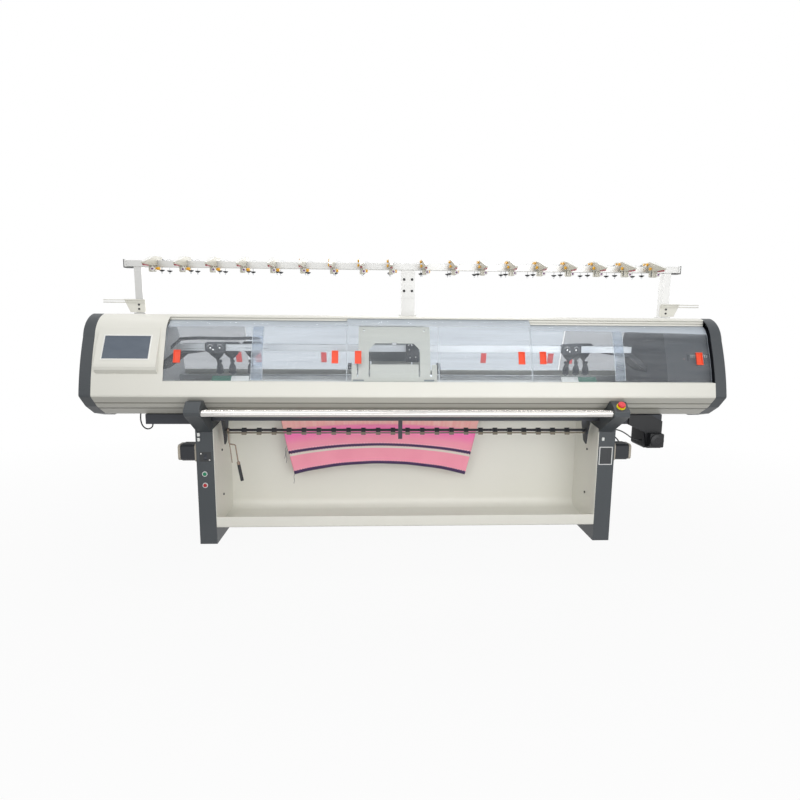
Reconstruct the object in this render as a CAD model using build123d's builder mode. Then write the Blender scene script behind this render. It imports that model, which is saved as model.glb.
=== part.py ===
# A computer-controlled flat knitting machine, 80 inches wide, standing on two box legs.
# X runs along the machine, Y from the operator's side to the back, Z up from the floor.
# The origin is on the floor, below the middle of the whole machine. All sizes are in millimetres.
# A depth is measured back from the foremost line of the head, or forward from its rearmost line.
from build123d import *

import math
import os
from functools import cache

os.makedirs("parts", exist_ok=True)

# Whole machine
HEAD_LENGTH = 3740
HEAD_DEPTH = 860
HEAD_TOP = 1402
BRACKET_REACH = 66
MID_Y = BRACKET_REACH / 2
HALF_DEPTH = HEAD_DEPTH / 2
CONTACT = 0.3
RUNNING_FIT = 0.05

# Upright section of the head, as depths and heights
NOSE_Z = HEAD_TOP - 462
NOSE_RADIUS = 20
FACE_CROWN = (38, NOSE_Z + 168)
SHOULDER = (96, HEAD_TOP - 132)
BROW = (143, HEAD_TOP - 45)
TOP_EDGE = (225, HEAD_TOP)
BELLY = (65, NOSE_Z - 67)
LIP = (150, NOSE_Z - 120)
KEEL = (262, NOSE_Z - 148)

# Casing
CAP_WIDTH = 70
CAP_WALL = 5
CAP_EDGE_RADIUS = 10
SHELL_WALL = 4
SHELL_END = HEAD_LENGTH / 2 - CAP_WIDTH
FASCIA_WALL = 3
FASCIA_WIDTH = 395
FASCIA_EDGE_X = FASCIA_WIDTH - SHELL_END
SILL_Z = 1025
SILL_HEIGHT = 20
SILL_INSET = 42
HOOD_IN = 192
HOOD_DROP = 58
HOOD_NOSE = 58
HOOD_WALL = 5
GROOVE_DROPS = (42, 78)
GROOVE_WIDTH = 6
GROOVE_DEPTH = 1.5

# Sliding covers
COVER_WALL = 4
COVER_STEP = 13
COVER_FIRST = 6
COVER_SLOT = 8
FRONT_JOINTS = (FASCIA_EDGE_X, -371, 718, SHELL_END)
REAR_JOINTS = (-SHELL_END, -1105, 1133, SHELL_END)
COVER_TRACKS = (1, 0, 2)
HANDLE_WIDTH = 38
HANDLE_HEIGHT = 72
HANDLE_PROUD = 7
HANDLE_Z = 1164
REAR_HANDLE_Z = 1112
HANDLE_INSET = 67
HANDLE_RIM = 5
HANDLE_FLOOR = 1.5
REAR_GRIP_X = 575

# Control panel
PANEL_WIDTH = 341
PANEL_MARGIN = 25
PANEL_X = (PANEL_MARGIN - SHELL_END, PANEL_MARGIN + PANEL_WIDTH - SHELL_END)
PANEL_FACE = ((112, 1324), (6, 1122))
PANEL_LIP = ((2, 1108), (4, 1090), (24, 1068))
SCREEN_X = PANEL_X[0] + 167
SCREEN_DOWN = 0.545
SCREEN_WIDTH = 256
SCREEN_HEIGHT = 143
SCREEN_THICK = 2.2
SCREEN_DROP = 0.3

# Legs and frame
LEG_FROM_END = 692
LEG_INNER_X = HEAD_LENGTH / 2 - LEG_FROM_END
LEG_WIDTH = 104
LEG_OUTER_X = LEG_INNER_X + LEG_WIDTH
LEG_IN = 150
LEG_WALL = 5
LEG_FOOT = 10
FOOT_OPENING = (52, 390)
FRAME_Z = 770
FRAME_HEIGHT = 40
FRAME_TOP = FRAME_Z + FRAME_HEIGHT
FRAME_FROM_END = 293
FRAME_END = HEAD_LENGTH / 2 - FRAME_FROM_END
BEAM_IN = 170
SLOT_HALF = 88
SLOT_END = LEG_INNER_X - 48
OUTRIGGER_DROP = 20
BULKHEAD_X = FRAME_END - 31
BULKHEAD_WALL = 6
CABINET_INSET = HOOD_DROP
RIB_FOOT_IN = 215
RIB_THICK = 24
RIB_PITCH = (LEG_INNER_X - 78) / 2
RIB_XS = tuple(place * RIB_PITCH for place in range(-2, 3))

# Needle beds and guide rails
BED_PAST_LEG = 72
BED_HALF = LEG_INNER_X + BED_PAST_LEG
BED_GAP = 8
BED_APEX_Z = 1016
BED_SLOPE = 49
BED_RUN = 170
BED_THICK = 25
GUIDE_IN = 155
GUIDE_WIDTH = 30
GUIDE_Z = 960
GUIDE_HEIGHT = 40

# Carriage
CARRIAGE_X = -93
CARRIAGE_WIDTH = 500
ARCH_WIDTH = 422
ARCH_INSET = 44
ARCH_WALL = 14
ARCH_TOP = 1338
ARCH_WINDOW = 300
WINDOW_Z = (1120, 1241)
WINDOW_CORNER = 36
APRON_WALL = 5
APRON_Z = (985, 1119)
APRON_SLIT = 8
SLIT_FOOT_Z = 1050
DECK_Z = 1030
DECK_THICK = 22
CAM_GAP = 0.4
CAM_IN = (HALF_DEPTH - 140, HALF_DEPTH - 25)
SHOE_LENGTH = 70
SHOE_WALL = 10
SHOE_DROP = 16
SHOE_OFFSET = 190

# Drive belt
PULLEY_X = BULKHEAD_X - 46
PULLEY_RADIUS = 30
PULLEY_Z = 925
BELT_THICK = 3
BELT_WIDTH = 26
BELT_IN = 102
AXLE_RADIUS = 10
AXLE_BLOCK = (90, 16)

# Yarn feeders
FEEDER_RAIL_HALF = BULKHEAD_X - 106
FEEDER_RAIL_Z = 1180
FEEDER_RAIL_HEIGHT = 40
FEEDER_RAIL_THICK = 12
FEEDER_RAIL_PITCH = 50
FEEDERS = ((-1, 242, 0), (-1, 320, 1), (-1, 435, 3), (1, 395, 0), (1, 325, 2), (1, 260, 3))
SLIDER_WIDTH = 125
SLIDER_WALL = 14
SLIDER_DROP = 8
TIP_PITCH = 5
TIP_THICK = 3
TIP_Z = 1026
ARM_INNER_X = FEEDER_RAIL_HALF - 128
ARM_THICK = 26
ARM_END_Z = 1100

# Touch bar and its brackets
BAR_RADIUS = 21
BAR_Z = 850
BAR_AHEAD = 28
BRACKET_LEFT_X = -LEG_INNER_X - 5
BRACKET_RIGHT_X = LEG_INNER_X - 4
BRACKET_WIDTH = 88
JOURNAL_RADIUS = 10
JOURNAL_DEPTH = 20
SLOPE_TOP = (-2, 914)
SLOPE_FOOT = (-64, 866)
STOP_RADIUS = 11
STOP_TRAVEL = 5

# Buttons and plates on the legs
SWITCH_X = -LEG_INNER_X - 50
SWITCH_Z = 553
BUTTON_X = -LEG_INNER_X - 57
BUTTON_ZS = (447, 376)
BUTTON_RADIUS = 11
BUTTON_STEM = 6
BUTTON_TRAVEL = 3
PLATE_THICK = 2
ROCKER_WIDTH = 19
ROCKER_HEIGHT = 36
SWITCH_PLATE = (69, 59)
NAME_PLATE = (84, 115)
RING_RADIUS = 16
RING_PROUD = 6
LEG_CLIPS = ((-LEG_INNER_X - 84, 660), (-LEG_INNER_X - 84, 690), (LEG_INNER_X + 26, 660))
LEG_CLIP_SIZE = (14, 20)
LEG_CLIP_PROUD = 7
COLLAR_RADIUS = 25

# Take-down
FABRIC_THICK = 4
ROLLER_RADIUS = 28
ROLLER_Z = 795
ROLLER_HALF = SLOT_END - 10
ROLLER_JOURNAL = 8
CLIP_COUNT = 23
CLIP_X = -3
CLIP_WIDTH = 28
SHAFT_IN = 250
SHAFT_Z = 697
SHAFT_RADIUS = 8
SHAFT_BRACKET_X = LEG_INNER_X - 51
CLIP_MARGIN = 115
CLIP_PITCH = 2 * (SHAFT_BRACKET_X - CLIP_MARGIN) / (CLIP_COUNT - 1)
HANGER_THICK = 8
ROD_IN = 238
ROD_Z = 682
ROD_RADIUS = 5
LEVER_X = 15 - SHAFT_BRACKET_X
LEVER_ROD = 4
LEVER_GRIP = 10
LEVER_WIRE = 3
STEPPER_IN = 205
STEPPER_Z = 573
STEPPER_SIZE = 100
MOTOR_X = FRAME_END - 57
MOTOR_Z = 660
MOTOR_SIZE = (110, 120)
MOTOR_LENGTH = 150
MOTOR_NOSE = 86
GUSSET_THICK = 12

# Yarn gantry
RAIL_FROM_END = 135
RAIL_HALF = HEAD_LENGTH / 2 - RAIL_FROM_END
RAIL_SIZE = 40
RAIL_Z = 1690
RAIL_IN = 400
RAIL_WALL = 3
POST_X = RAIL_HALF - 65
POST_FOOT = 12
POST_PLATE_Z = (HEAD_TOP + 116, RAIL_Z - 25)
POST_WIDTH = 45
CENTRE_POST_WIDTH = 85
POST_IN = 405
POST_DEPTH = 60
ROD_REACH = HEAD_LENGTH / 2 + 13
TRAY_TOP = HEAD_TOP + 92
TRAY_FOOT = HEAD_TOP + 12
DEVICE_ROW = 9
DEVICE_MARGINS = (173, 185)
DEVICE_GAP = 208
DEVICE_PITCH = (2 * RAIL_HALF - sum(DEVICE_MARGINS) - DEVICE_GAP) / (2 * (DEVICE_ROW - 1))
DEVICE_WIDTH = 28
DEVICE_NOSE_IN = RAIL_IN - 185
DEVICE_BACK_IN = RAIL_IN + 86
LAMP_BAR = (78, 10, 8)
CLAMP_BAR = (66, 22, 44)
ARM_WIDTH = 8
ARM_REACH = RAIL_IN + 258
DISC_RADIUS = 18
DISC_THICK = 8
DISC_TIP = 24
DISC_STEM = 3
GUIDE_DISC = (15, 13, 10)

# Knitted cloth, drawn as (x, z) round its edge, with the lower edge as an arc of three points
CLOTH_TOP_Z = 1012
CLOTH_RIGHT = ((395, 358), (428, 489), (461, 639), (483, 734), (483, CLOTH_TOP_Z))
CLOTH_LEFT = ((-822, CLOTH_TOP_Z), (-822, 733), (-804, 640), (-777, 512), (-738, 362))
CLOTH_HEM_MIDDLE = (-174, 432)

# Cables: where each one starts, and its route from there as distances along X, depths and heights
CABLE_RADIUS = 4
CABLE_ROUTES = (
    (LEG_OUTER_X, ((0, 230, 705), (32, 230, 705), (68, 226, 696), (101, 218, 677), (129, 210, 655),
                   (158, 207, 642), (183, 207, 642))),
    (LEG_OUTER_X, ((0, 298, 655), (28, 298, 655), (58, 301, 646), (82, 306, 628), (97, 304, 606),
                   (102, 293, 590), (102, 270, 590))),
    (-FRAME_END, ((-78, 300, 850), (-78, 300, 822), (-82, 295, 785), (-81, 288, 748), (-66, 277, 716),
                  (-37, 265, 700), (-9, 256, 706), (9, 251, 724), (9, 251, 750))))

# Cloth bin
BIN_WALL = 3
BIN_Z = 104
BIN_LIP = 69
BIN_BACK = 528
BIN_SIDE_TOP = 721
BIN_BEND = 60
BIN_SCREWS = ((310, 558), (310, 268))
SCREW_RADIUS = 6
SCREW_PROUD = 4
POST_BOLT_X = 25
POST_BOLT_RISES = (159, 230)
TRAY_BOLT_RISES = (32, 58)


def save(builder, name):
    """Labels a finished piece and writes it under that name."""
    builder.part.label = name
    export_step(builder.part, f"parts/{name}.step")


def deep(depth, side=-1):
    """The Y that lies this deep behind the front line, or before the rear line where side is 1."""
    return MID_Y + side * (HALF_DEPTH - depth)


def upright(y):
    """A plane that faces the operator at this Y, drawn as (x, z)."""
    return Plane(origin=(0, y, 0), x_dir=(1, 0, 0), z_dir=(0, -1, 0))


def facing(depth, side=-1):
    """A plane that faces the operator at this depth, drawn as (x, z)."""
    return upright(deep(depth, side))


def block(x_span, y_span, z_span, mode=Mode.ADD):
    """A box between two corners, given as its spans along X, Y and Z."""
    spans = (x_span, y_span, z_span)
    with Locations(tuple(sum(span) / 2 for span in spans)):
        Box(*[abs(span[1] - span[0]) for span in spans], mode=mode)


def profile(points, side=-1):
    """A closed outline of straight edges, given as depths and heights and drawn as (y, z)."""
    with BuildSketch(mode=Mode.PRIVATE) as outline:
        with BuildLine():
            Polyline(*[(deep(depth, side), z) for depth, z in points], close=True)
        make_face()
    return outline.sketch


def run(section, start, stop, mode=Mode.ADD):
    """Carries a section drawn as (y, z) from one X to another."""
    with BuildSketch(Plane.YZ.offset(start)) as placed:
        add(section)
    extrude(placed.sketch, amount=stop - start, mode=mode)


@cache
def head_face(inset):
    """The head's section, shrunk evenly by an inset and drawn as (y, z)."""
    with BuildSketch(mode=Mode.PRIVATE) as face:
        with BuildLine():
            for side in (-1, 1):
                nose, crown, shoulder, brow, top, belly, lip, keel = (
                    (deep(depth, side), z) for depth, z in
                    ((0, NOSE_Z), FACE_CROWN, SHOULDER, BROW, TOP_EDGE, BELLY, LIP, KEEL))
                ThreePointArc(nose, crown, shoulder)
                ThreePointArc(shoulder, brow, top)
                Polyline(nose, belly, lip, keel)
            Line((deep(TOP_EDGE[0]), TOP_EDGE[1]), (deep(TOP_EDGE[0], 1), TOP_EDGE[1]))
            Line((deep(KEEL[0]), KEEL[1]), (deep(KEEL[0], 1), KEEL[1]))
        make_face()
        if inset > 0:
            offset(amount=-inset, kind=Kind.INTERSECTION)
        noses = face.vertices().sort_by(Axis.X)
        fillet([noses[0], noses[-1]], max(NOSE_RADIUS - inset, 2))
    return face.sketch


def wall(side, outer, inner, z_span, depth_span):
    """A stretch of the head's section from one inset to another, or all that lies inside the first."""
    with BuildSketch(mode=Mode.PRIVATE) as stretch:
        add(head_face(outer))
        if inner is not None:
            add(head_face(inner), mode=Mode.SUBTRACT)
        middle = (deep(sum(depth_span) / 2, side), sum(z_span) / 2)
        with Locations(middle):
            Rectangle(depth_span[1] - depth_span[0], z_span[1] - z_span[0], mode=Mode.INTERSECT)
    return stretch.sketch


def track(number):
    """How far a sliding cover's outer face lies below the casing's surface."""
    return COVER_FIRST + number * COVER_STEP


def slots(side, z_span, depth_span):
    """The three grooves in which the covers slide, cut out of one stretch of the section."""
    with BuildSketch(mode=Mode.PRIVATE) as grooves:
        for number in range(3):
            outer = track(number) - CONTACT
            add(wall(side, outer, outer + COVER_WALL + 2 * CONTACT, z_span, depth_span))
    return grooves.sketch


def shell(side):
    """The long sill, nose and belly panel on one side of the head."""
    fall = (LIP[1] - KEEL[1]) / (KEEL[0] - LIP[0])
    toe = LIP[0] + (LIP[1] + SHELL_WALL * math.hypot(1, fall) - FRAME_TOP) / fall
    with BuildSketch(mode=Mode.PRIVATE) as section:
        add(wall(side, 0, SHELL_WALL, (FRAME_TOP, SILL_Z), (0, toe)))
        add(wall(side, 0, SILL_INSET, (SILL_Z - SILL_HEIGHT, SILL_Z), (0, LIP[0])))
        add(slots(side, (SILL_Z - COVER_SLOT, SILL_Z), (0, LIP[0])), mode=Mode.SUBTRACT)
        for drop in GROOVE_DROPS:
            low = NOSE_Z - drop - GROOVE_WIDTH / 2
            add(wall(side, 0, GROOVE_DEPTH, (low, low + GROOVE_WIDTH), (0, LIP[0])), mode=Mode.SUBTRACT)
    return section.sketch


def hood():
    """The beam along the top of the head, with grooves for both sets of covers in its two noses."""
    low = HEAD_TOP - HOOD_DROP
    with BuildSketch(mode=Mode.PRIVATE) as section:
        add(wall(-1, 0, HOOD_WALL, (low, HEAD_TOP), (HOOD_IN, HEAD_DEPTH - HOOD_IN)))
        for side in (-1, 1):
            add(wall(side, 0, None, (low, HEAD_TOP), (HOOD_IN, HOOD_IN + HOOD_NOSE)))
            add(slots(side, (low, HEAD_TOP), (HOOD_IN, HOOD_IN + COVER_SLOT)), mode=Mode.SUBTRACT)
    return section.sketch


def cover(side, number):
    """The bent clear sheet of a sliding cover on one of the three tracks."""
    z_span = (SILL_Z - COVER_SLOT + CONTACT, HEAD_TOP)
    outer = track(number)
    return wall(side, outer, outer + COVER_WALL, z_span, (0, HOOD_IN + COVER_SLOT - CONTACT))


def grips(side, number, middle_z, xs):
    """Recessed finger grips on the outside of a sliding cover, added to the piece in hand."""
    outer = track(number)
    low = middle_z - HANDLE_HEIGHT / 2
    rim = HANDLE_RIM
    for x in xs:
        plate = wall(side, max(outer - HANDLE_PROUD, 0), outer, (low, low + HANDLE_HEIGHT), (0, HOOD_IN))
        cup = wall(side, max(outer - HANDLE_PROUD, 0), outer - HANDLE_FLOOR,
                   (low + rim, low + HANDLE_HEIGHT - rim), (0, HOOD_IN))
        run(plate, x - HANDLE_WIDTH / 2, x + HANDLE_WIDTH / 2)
        run(cup, x - HANDLE_WIDTH / 2 + rim, x + HANDLE_WIDTH / 2 - rim, mode=Mode.SUBTRACT)


# Legs: folded steel boxes with an inward foot flange, the left one drilled for the switches
leg_y = (deep(LEG_IN), deep(LEG_IN, 1))
for side, leg_name in ((-1, "left_leg"), (1, "right_leg")):
    middle_x = side * (LEG_INNER_X + LEG_WIDTH / 2)
    with BuildPart() as leg:
        half = LEG_WIDTH / 2
        block((middle_x - half, middle_x + half), leg_y, (0, FRAME_Z))
        half = LEG_WIDTH / 2 - LEG_WALL
        block((middle_x - half, middle_x + half), (leg_y[0] + LEG_WALL, leg_y[1] - LEG_WALL),
              (LEG_FOOT, FRAME_Z - LEG_WALL), mode=Mode.SUBTRACT)
        with Locations((middle_x, MID_Y, LEG_FOOT / 2)):
            Box(*FOOT_OPENING, LEG_FOOT, mode=Mode.SUBTRACT)
        if side < 0:
            with BuildSketch(facing(LEG_IN)):
                with Locations(*[(BUTTON_X, z) for z in BUTTON_ZS]):
                    Circle(BUTTON_STEM + RUNNING_FIT)
                with Locations((SWITCH_X, SWITCH_Z)):
                    Rectangle(ROCKER_WIDTH + 6, ROCKER_HEIGHT + 6)
            extrude(amount=-LEG_WALL, mode=Mode.SUBTRACT)
    save(leg, leg_name)

# Welded frame: two ground beams, cross blocks, outriggers past the legs, ribs and end cabinets
bed_apex = (HALF_DEPTH - BED_GAP / 2, BED_APEX_Z)
bed_sine = math.sin(math.radians(BED_SLOPE))
bed_cosine = math.cos(math.radians(BED_SLOPE))
bed_foot = (bed_apex[0] - BED_RUN * bed_cosine, bed_apex[1] - BED_RUN * bed_sine)
bed_heel = (bed_foot[0] + BED_THICK * bed_sine, bed_foot[1] - BED_THICK * bed_cosine)
bed_root = (bed_apex[0], bed_apex[1] - BED_THICK / bed_cosine)
beam_y = [(deep(BEAM_IN, side), deep(HALF_DEPTH - SLOT_HALF, side)) for side in (-1, 1)]
seat_run = 30
seat_end = (bed_heel[0] + seat_run, bed_heel[1] + seat_run * bed_sine / bed_cosine)
rib_points = [
    (RIB_FOOT_IN, FRAME_TOP), (HALF_DEPTH - SLOT_HALF, FRAME_TOP), (seat_end[0], FRAME_TOP + 25),
    seat_end, bed_heel, (240, bed_heel[1]), (GUIDE_IN + GUIDE_WIDTH + 10, 920),
    (GUIDE_IN + GUIDE_WIDTH + 10, GUIDE_Z), (GUIDE_IN, GUIDE_Z), (GUIDE_IN, FRAME_TOP + 22)]
axle_depth = BELT_IN + BELT_WIDTH
with BuildPart() as main_frame:
    for span in beam_y:
        block((-FRAME_END, FRAME_END), span, (FRAME_Z, FRAME_TOP))
    for side in (-1, 1):
        slot_y = (MID_Y - SLOT_HALF, MID_Y + SLOT_HALF)
        block((side * SLOT_END, side * FRAME_END), slot_y, (FRAME_Z, FRAME_TOP))
        block((side * LEG_OUTER_X, side * FRAME_END), (deep(BEAM_IN), deep(BEAM_IN, 1)),
              (FRAME_Z - OUTRIGGER_DROP, FRAME_Z))
        with BuildSketch(Plane.YZ.offset(side * BULKHEAD_X)):
            add(head_face(CABINET_INSET))
            with Locations((MID_Y, FRAME_TOP + 50)):
                Rectangle(HEAD_DEPTH - 2 * RIB_FOOT_IN, 100)
        extrude(amount=side * BULKHEAD_WALL)
        cabinet_end = side * (HEAD_LENGTH / 2 - CAP_WALL)
        with BuildSketch(Plane.YZ.offset(side * BULKHEAD_X)):
            add(head_face(CABINET_INSET))
            add(head_face(CABINET_INSET + BULKHEAD_WALL), mode=Mode.SUBTRACT)
        extrude(amount=cabinet_end - side * BULKHEAD_X)
        for x in RIB_XS:
            run(profile(rib_points, side), x - RIB_THICK / 2, x + RIB_THICK / 2)
    for side in (-1, 1):
        axle_y = (deep(axle_depth, 1), deep(axle_depth + AXLE_BLOCK[1], 1))
        block((side * (PULLEY_X - 20), side * BULKHEAD_X), axle_y,
              (PULLEY_Z - AXLE_BLOCK[0] / 2, PULLEY_Z + AXLE_BLOCK[0] / 2 - 10))
    with BuildSketch(facing(axle_depth, 1)):
        with Locations((-PULLEY_X, PULLEY_Z), (PULLEY_X, PULLEY_Z)):
            Circle(AXLE_RADIUS + RUNNING_FIT)
    extrude(amount=AXLE_BLOCK[1], mode=Mode.SUBTRACT)
    for side in (-1, 1):
        roller_y = MID_Y + side * (FABRIC_THICK / 2 + CONTACT + ROLLER_RADIUS)
        for end in (-1, 1):
            with BuildSketch(Plane.YZ.offset(end * SLOT_END)):
                with Locations((roller_y, ROLLER_Z)):
                    Circle(ROLLER_JOURNAL + RUNNING_FIT)
            extrude(amount=end * 22, mode=Mode.SUBTRACT)
save(main_frame, "main_frame")

# Needle beds: two ground steel plates that face each other like a roof
for side, bed_name in ((-1, "front_needle_bed"), (1, "rear_needle_bed")):
    with BuildPart() as needle_bed:
        run(profile([bed_apex, bed_foot, bed_heel, bed_root], side), -BED_HALF, BED_HALF)
    save(needle_bed, bed_name)

# Guide rails: one hardened bar along each edge of the frame, between the bulkheads
with BuildPart() as guide_rails:
    for side in (-1, 1):
        guide_y = (deep(GUIDE_IN, side), deep(GUIDE_IN + GUIDE_WIDTH, side))
        block((-BULKHEAD_X, BULKHEAD_X), guide_y, (GUIDE_Z, GUIDE_Z + GUIDE_HEIGHT))
save(guide_rails, "guide_rails")

# Casing: long bent shells at front and rear, a beam on top, a cap at each end
for side, shell_name in ((-1, "front_shell"), (1, "rear_shell")):
    with BuildPart() as casing:
        run(shell(side), -SHELL_END, SHELL_END)
    save(casing, shell_name)

with BuildPart() as top_beam:
    run(hood(), -SHELL_END, SHELL_END)
save(top_beam, "top_beam")

for side, cap_name in ((-1, "left_end_cap"), (1, "right_end_cap")):
    with BuildPart() as cap:
        run(head_face(0), side * SHELL_END, side * HEAD_LENGTH / 2)
        outside = cap.faces().sort_by(Axis.X)[0 if side < 0 else -1]
        fillet(outside.edges(), CAP_EDGE_RADIUS)
        run(head_face(CAP_WALL), side * SHELL_END, side * (HEAD_LENGTH / 2 - CAP_WALL), mode=Mode.SUBTRACT)
    save(cap, cap_name)

with BuildPart() as left_fascia:
    run(wall(-1, 0, FASCIA_WALL, (SILL_Z, HEAD_TOP), (0, HOOD_IN)), -SHELL_END, FASCIA_EDGE_X)
save(left_fascia, "left_fascia")

# Control panel: a wedge-shaped bezel on the fascia, with a flat screen let into its face
panel_top = (deep(PANEL_FACE[0][0]), PANEL_FACE[0][1])
panel_foot = (deep(PANEL_FACE[1][0]), PANEL_FACE[1][1])
panel_lean = math.atan2(panel_top[0] - panel_foot[0], panel_top[1] - panel_foot[1])
screen_y = panel_top[0] - (panel_top[0] - panel_foot[0]) * SCREEN_DOWN
screen_z = panel_top[1] - (panel_top[1] - panel_foot[1]) * SCREEN_DOWN
screen_normal = (0, -math.cos(panel_lean), math.sin(panel_lean))
screen_plane = Plane(origin=(SCREEN_X, screen_y, screen_z), x_dir=(1, 0, 0), z_dir=screen_normal)
with BuildPart() as panel_bezel:
    back = [(PANEL_LIP[-1][0] + 60, PANEL_LIP[-1][1]), (PANEL_FACE[0][0] + 60, PANEL_FACE[0][1])]
    run(profile([*PANEL_FACE, *PANEL_LIP, *back]), *PANEL_X)
    run(head_face(0), *PANEL_X, mode=Mode.SUBTRACT)
    with BuildSketch(screen_plane):
        Rectangle(SCREEN_WIDTH, SCREEN_HEIGHT)
    extrude(amount=-SCREEN_THICK - SCREEN_DROP, mode=Mode.SUBTRACT)
save(panel_bezel, "panel_bezel")

with BuildPart() as touch_screen:
    with BuildSketch(screen_plane.offset(-SCREEN_THICK - SCREEN_DROP)):
        RectangleRounded(SCREEN_WIDTH - 0.6, SCREEN_HEIGHT - 0.6, 2)
    extrude(amount=SCREEN_THICK)
save(touch_screen, "touch_screen")

# Sliding covers: three clear sheets a side, each on its own track, with orange grips at the joints
for number, place in enumerate(("left", "middle", "right")):
    lane = COVER_TRACKS[number]
    start, stop = FRONT_JOINTS[number:number + 2]
    with BuildPart() as sheet:
        run(cover(-1, lane), start, stop)
    save(sheet, f"front_cover_{place}")
    with BuildPart() as pulls:
        grips(-1, lane, HANDLE_Z, (start + HANDLE_INSET, stop - HANDLE_INSET))
    save(pulls, f"front_handles_{place}")

    start, stop = REAR_JOINTS[number:number + 2]
    grip_xs = {"left": (stop - HANDLE_INSET,), "right": (start + HANDLE_INSET,),
               "middle": (start + HANDLE_INSET, -REAR_GRIP_X, REAR_GRIP_X, stop - HANDLE_INSET)}
    with BuildPart() as sheet:
        run(cover(1, lane), start, stop)
        grips(1, lane, REAR_HANDLE_Z, grip_xs[place])
    save(sheet, f"rear_cover_{place}")

# Carriage: an arched cover with windows, aprons before and behind, on two cam castings
carriage_span = (CARRIAGE_X - CARRIAGE_WIDTH / 2, CARRIAGE_X + CARRIAGE_WIDTH / 2)
arch_span = (CARRIAGE_X - ARCH_WIDTH / 2, CARRIAGE_X + ARCH_WIDTH / 2)
arch_inner = ARCH_INSET + ARCH_WALL
with BuildPart() as carriage_covers:
    with BuildSketch(Plane.YZ.offset(arch_span[0])) as arch:
        add(wall(-1, ARCH_INSET, None, (DECK_Z, ARCH_TOP), (0, HEAD_DEPTH)))
        add(wall(-1, arch_inner, None, (DECK_Z, ARCH_TOP - ARCH_WALL), (0, HEAD_DEPTH)), mode=Mode.SUBTRACT)
    extrude(amount=ARCH_WIDTH)
    with BuildSketch(facing(0)):
        with Locations((CARRIAGE_X, sum(WINDOW_Z) / 2)):
            window = Rectangle(ARCH_WINDOW, WINDOW_Z[1] - WINDOW_Z[0])
        chamfer(window.vertices().group_by(Axis.Y)[-1], WINDOW_CORNER)
    extrude(amount=-HEAD_DEPTH, mode=Mode.SUBTRACT)
    for side in (-1, 1):
        apron = wall(side, ARCH_INSET, ARCH_INSET + APRON_WALL, APRON_Z, (0, HALF_DEPTH))
        run(apron, *carriage_span)
        for end in (-1, 1):
            for from_middle in (ARCH_WINDOW / 2 - APRON_SLIT, ARCH_WIDTH / 2):
                slit_x = CARRIAGE_X + end * from_middle
                block((slit_x, slit_x + end * APRON_SLIT), (deep(0, side), deep(LEG_IN, side)),
                      (SLIT_FOOT_Z, APRON_Z[1] + 1), mode=Mode.SUBTRACT)
save(carriage_covers, "carriage_covers")

bed_fall = bed_sine / bed_cosine
cam_sole = []
for depth in CAM_IN[::-1]:
    on_bed = max(depth, bed_foot[0])
    cam_sole.append((depth, bed_apex[1] - (bed_apex[0] - on_bed) * bed_fall + CAM_GAP / bed_cosine))
with BuildPart() as carriage_base:
    deck_low = DECK_Z - DECK_THICK
    for side in (-1, 1):
        run(wall(side, ARCH_INSET + APRON_WALL, None, (deck_low, DECK_Z), (0, CAM_IN[1])), *carriage_span)
        run(profile([(CAM_IN[0], deck_low), *cam_sole[::-1], (CAM_IN[1], deck_low)], side), *carriage_span)
        for x in (CARRIAGE_X - SHOE_OFFSET, CARRIAGE_X + SHOE_OFFSET):
            shoe_x = (x - SHOE_LENGTH / 2, x + SHOE_LENGTH / 2)
            near = (deep(GUIDE_IN - SHOE_WALL, side), deep(GUIDE_IN - CONTACT, side))
            far = (deep(GUIDE_IN + GUIDE_WIDTH + CONTACT, side),
                   deep(GUIDE_IN + GUIDE_WIDTH + SHOE_WALL, side))
            shoe_low = GUIDE_Z + GUIDE_HEIGHT - SHOE_DROP
            block(shoe_x, near, (shoe_low, deck_low))
            block(shoe_x, far, (shoe_low, deck_low))
            block(shoe_x, (near[0], far[1]), (GUIDE_Z + GUIDE_HEIGHT + CONTACT, deck_low))
    lug_y = (deep(BELT_IN, 1), deep(BELT_IN + BELT_WIDTH, 1))
    lug_low = PULLEY_Z + PULLEY_RADIUS + BELT_THICK + 2 * CONTACT
    block((CARRIAGE_X - 40, CARRIAGE_X + 40), lug_y, (lug_low, deck_low))
save(carriage_base, "carriage_base")

# Carriage drive: a toothed belt round two pulleys behind the rear bed
for side, pulley_name in ((1, "drive_pulley"), (-1, "idle_pulley")):
    with BuildPart() as pulley:
        with BuildSketch(facing(BELT_IN, 1)):
            with Locations((side * PULLEY_X, PULLEY_Z)):
                Circle(PULLEY_RADIUS)
        extrude(amount=BELT_WIDTH)
        with BuildSketch(facing(BELT_IN, 1)):
            with Locations((side * PULLEY_X, PULLEY_Z)):
                Circle(AXLE_RADIUS)
        extrude(amount=BELT_WIDTH + AXLE_BLOCK[1])
        with BuildSketch(facing(BELT_IN, 1)):
            with Locations((side * PULLEY_X, PULLEY_Z)):
                with PolarLocations(PULLEY_RADIUS * 0.62, 5):
                    Circle(4)
        extrude(amount=BELT_WIDTH, mode=Mode.SUBTRACT)
    save(pulley, pulley_name)

with BuildPart() as drive_belt:
    with BuildSketch(facing(BELT_IN, 1)):
        with Locations((0, PULLEY_Z)):
            inner_radius = PULLEY_RADIUS + CONTACT
            SlotCenterToCenter(2 * PULLEY_X, 2 * (inner_radius + BELT_THICK))
            SlotCenterToCenter(2 * PULLEY_X, 2 * inner_radius, mode=Mode.SUBTRACT)
    extrude(amount=BELT_WIDTH)
save(drive_belt, "drive_belt")

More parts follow.
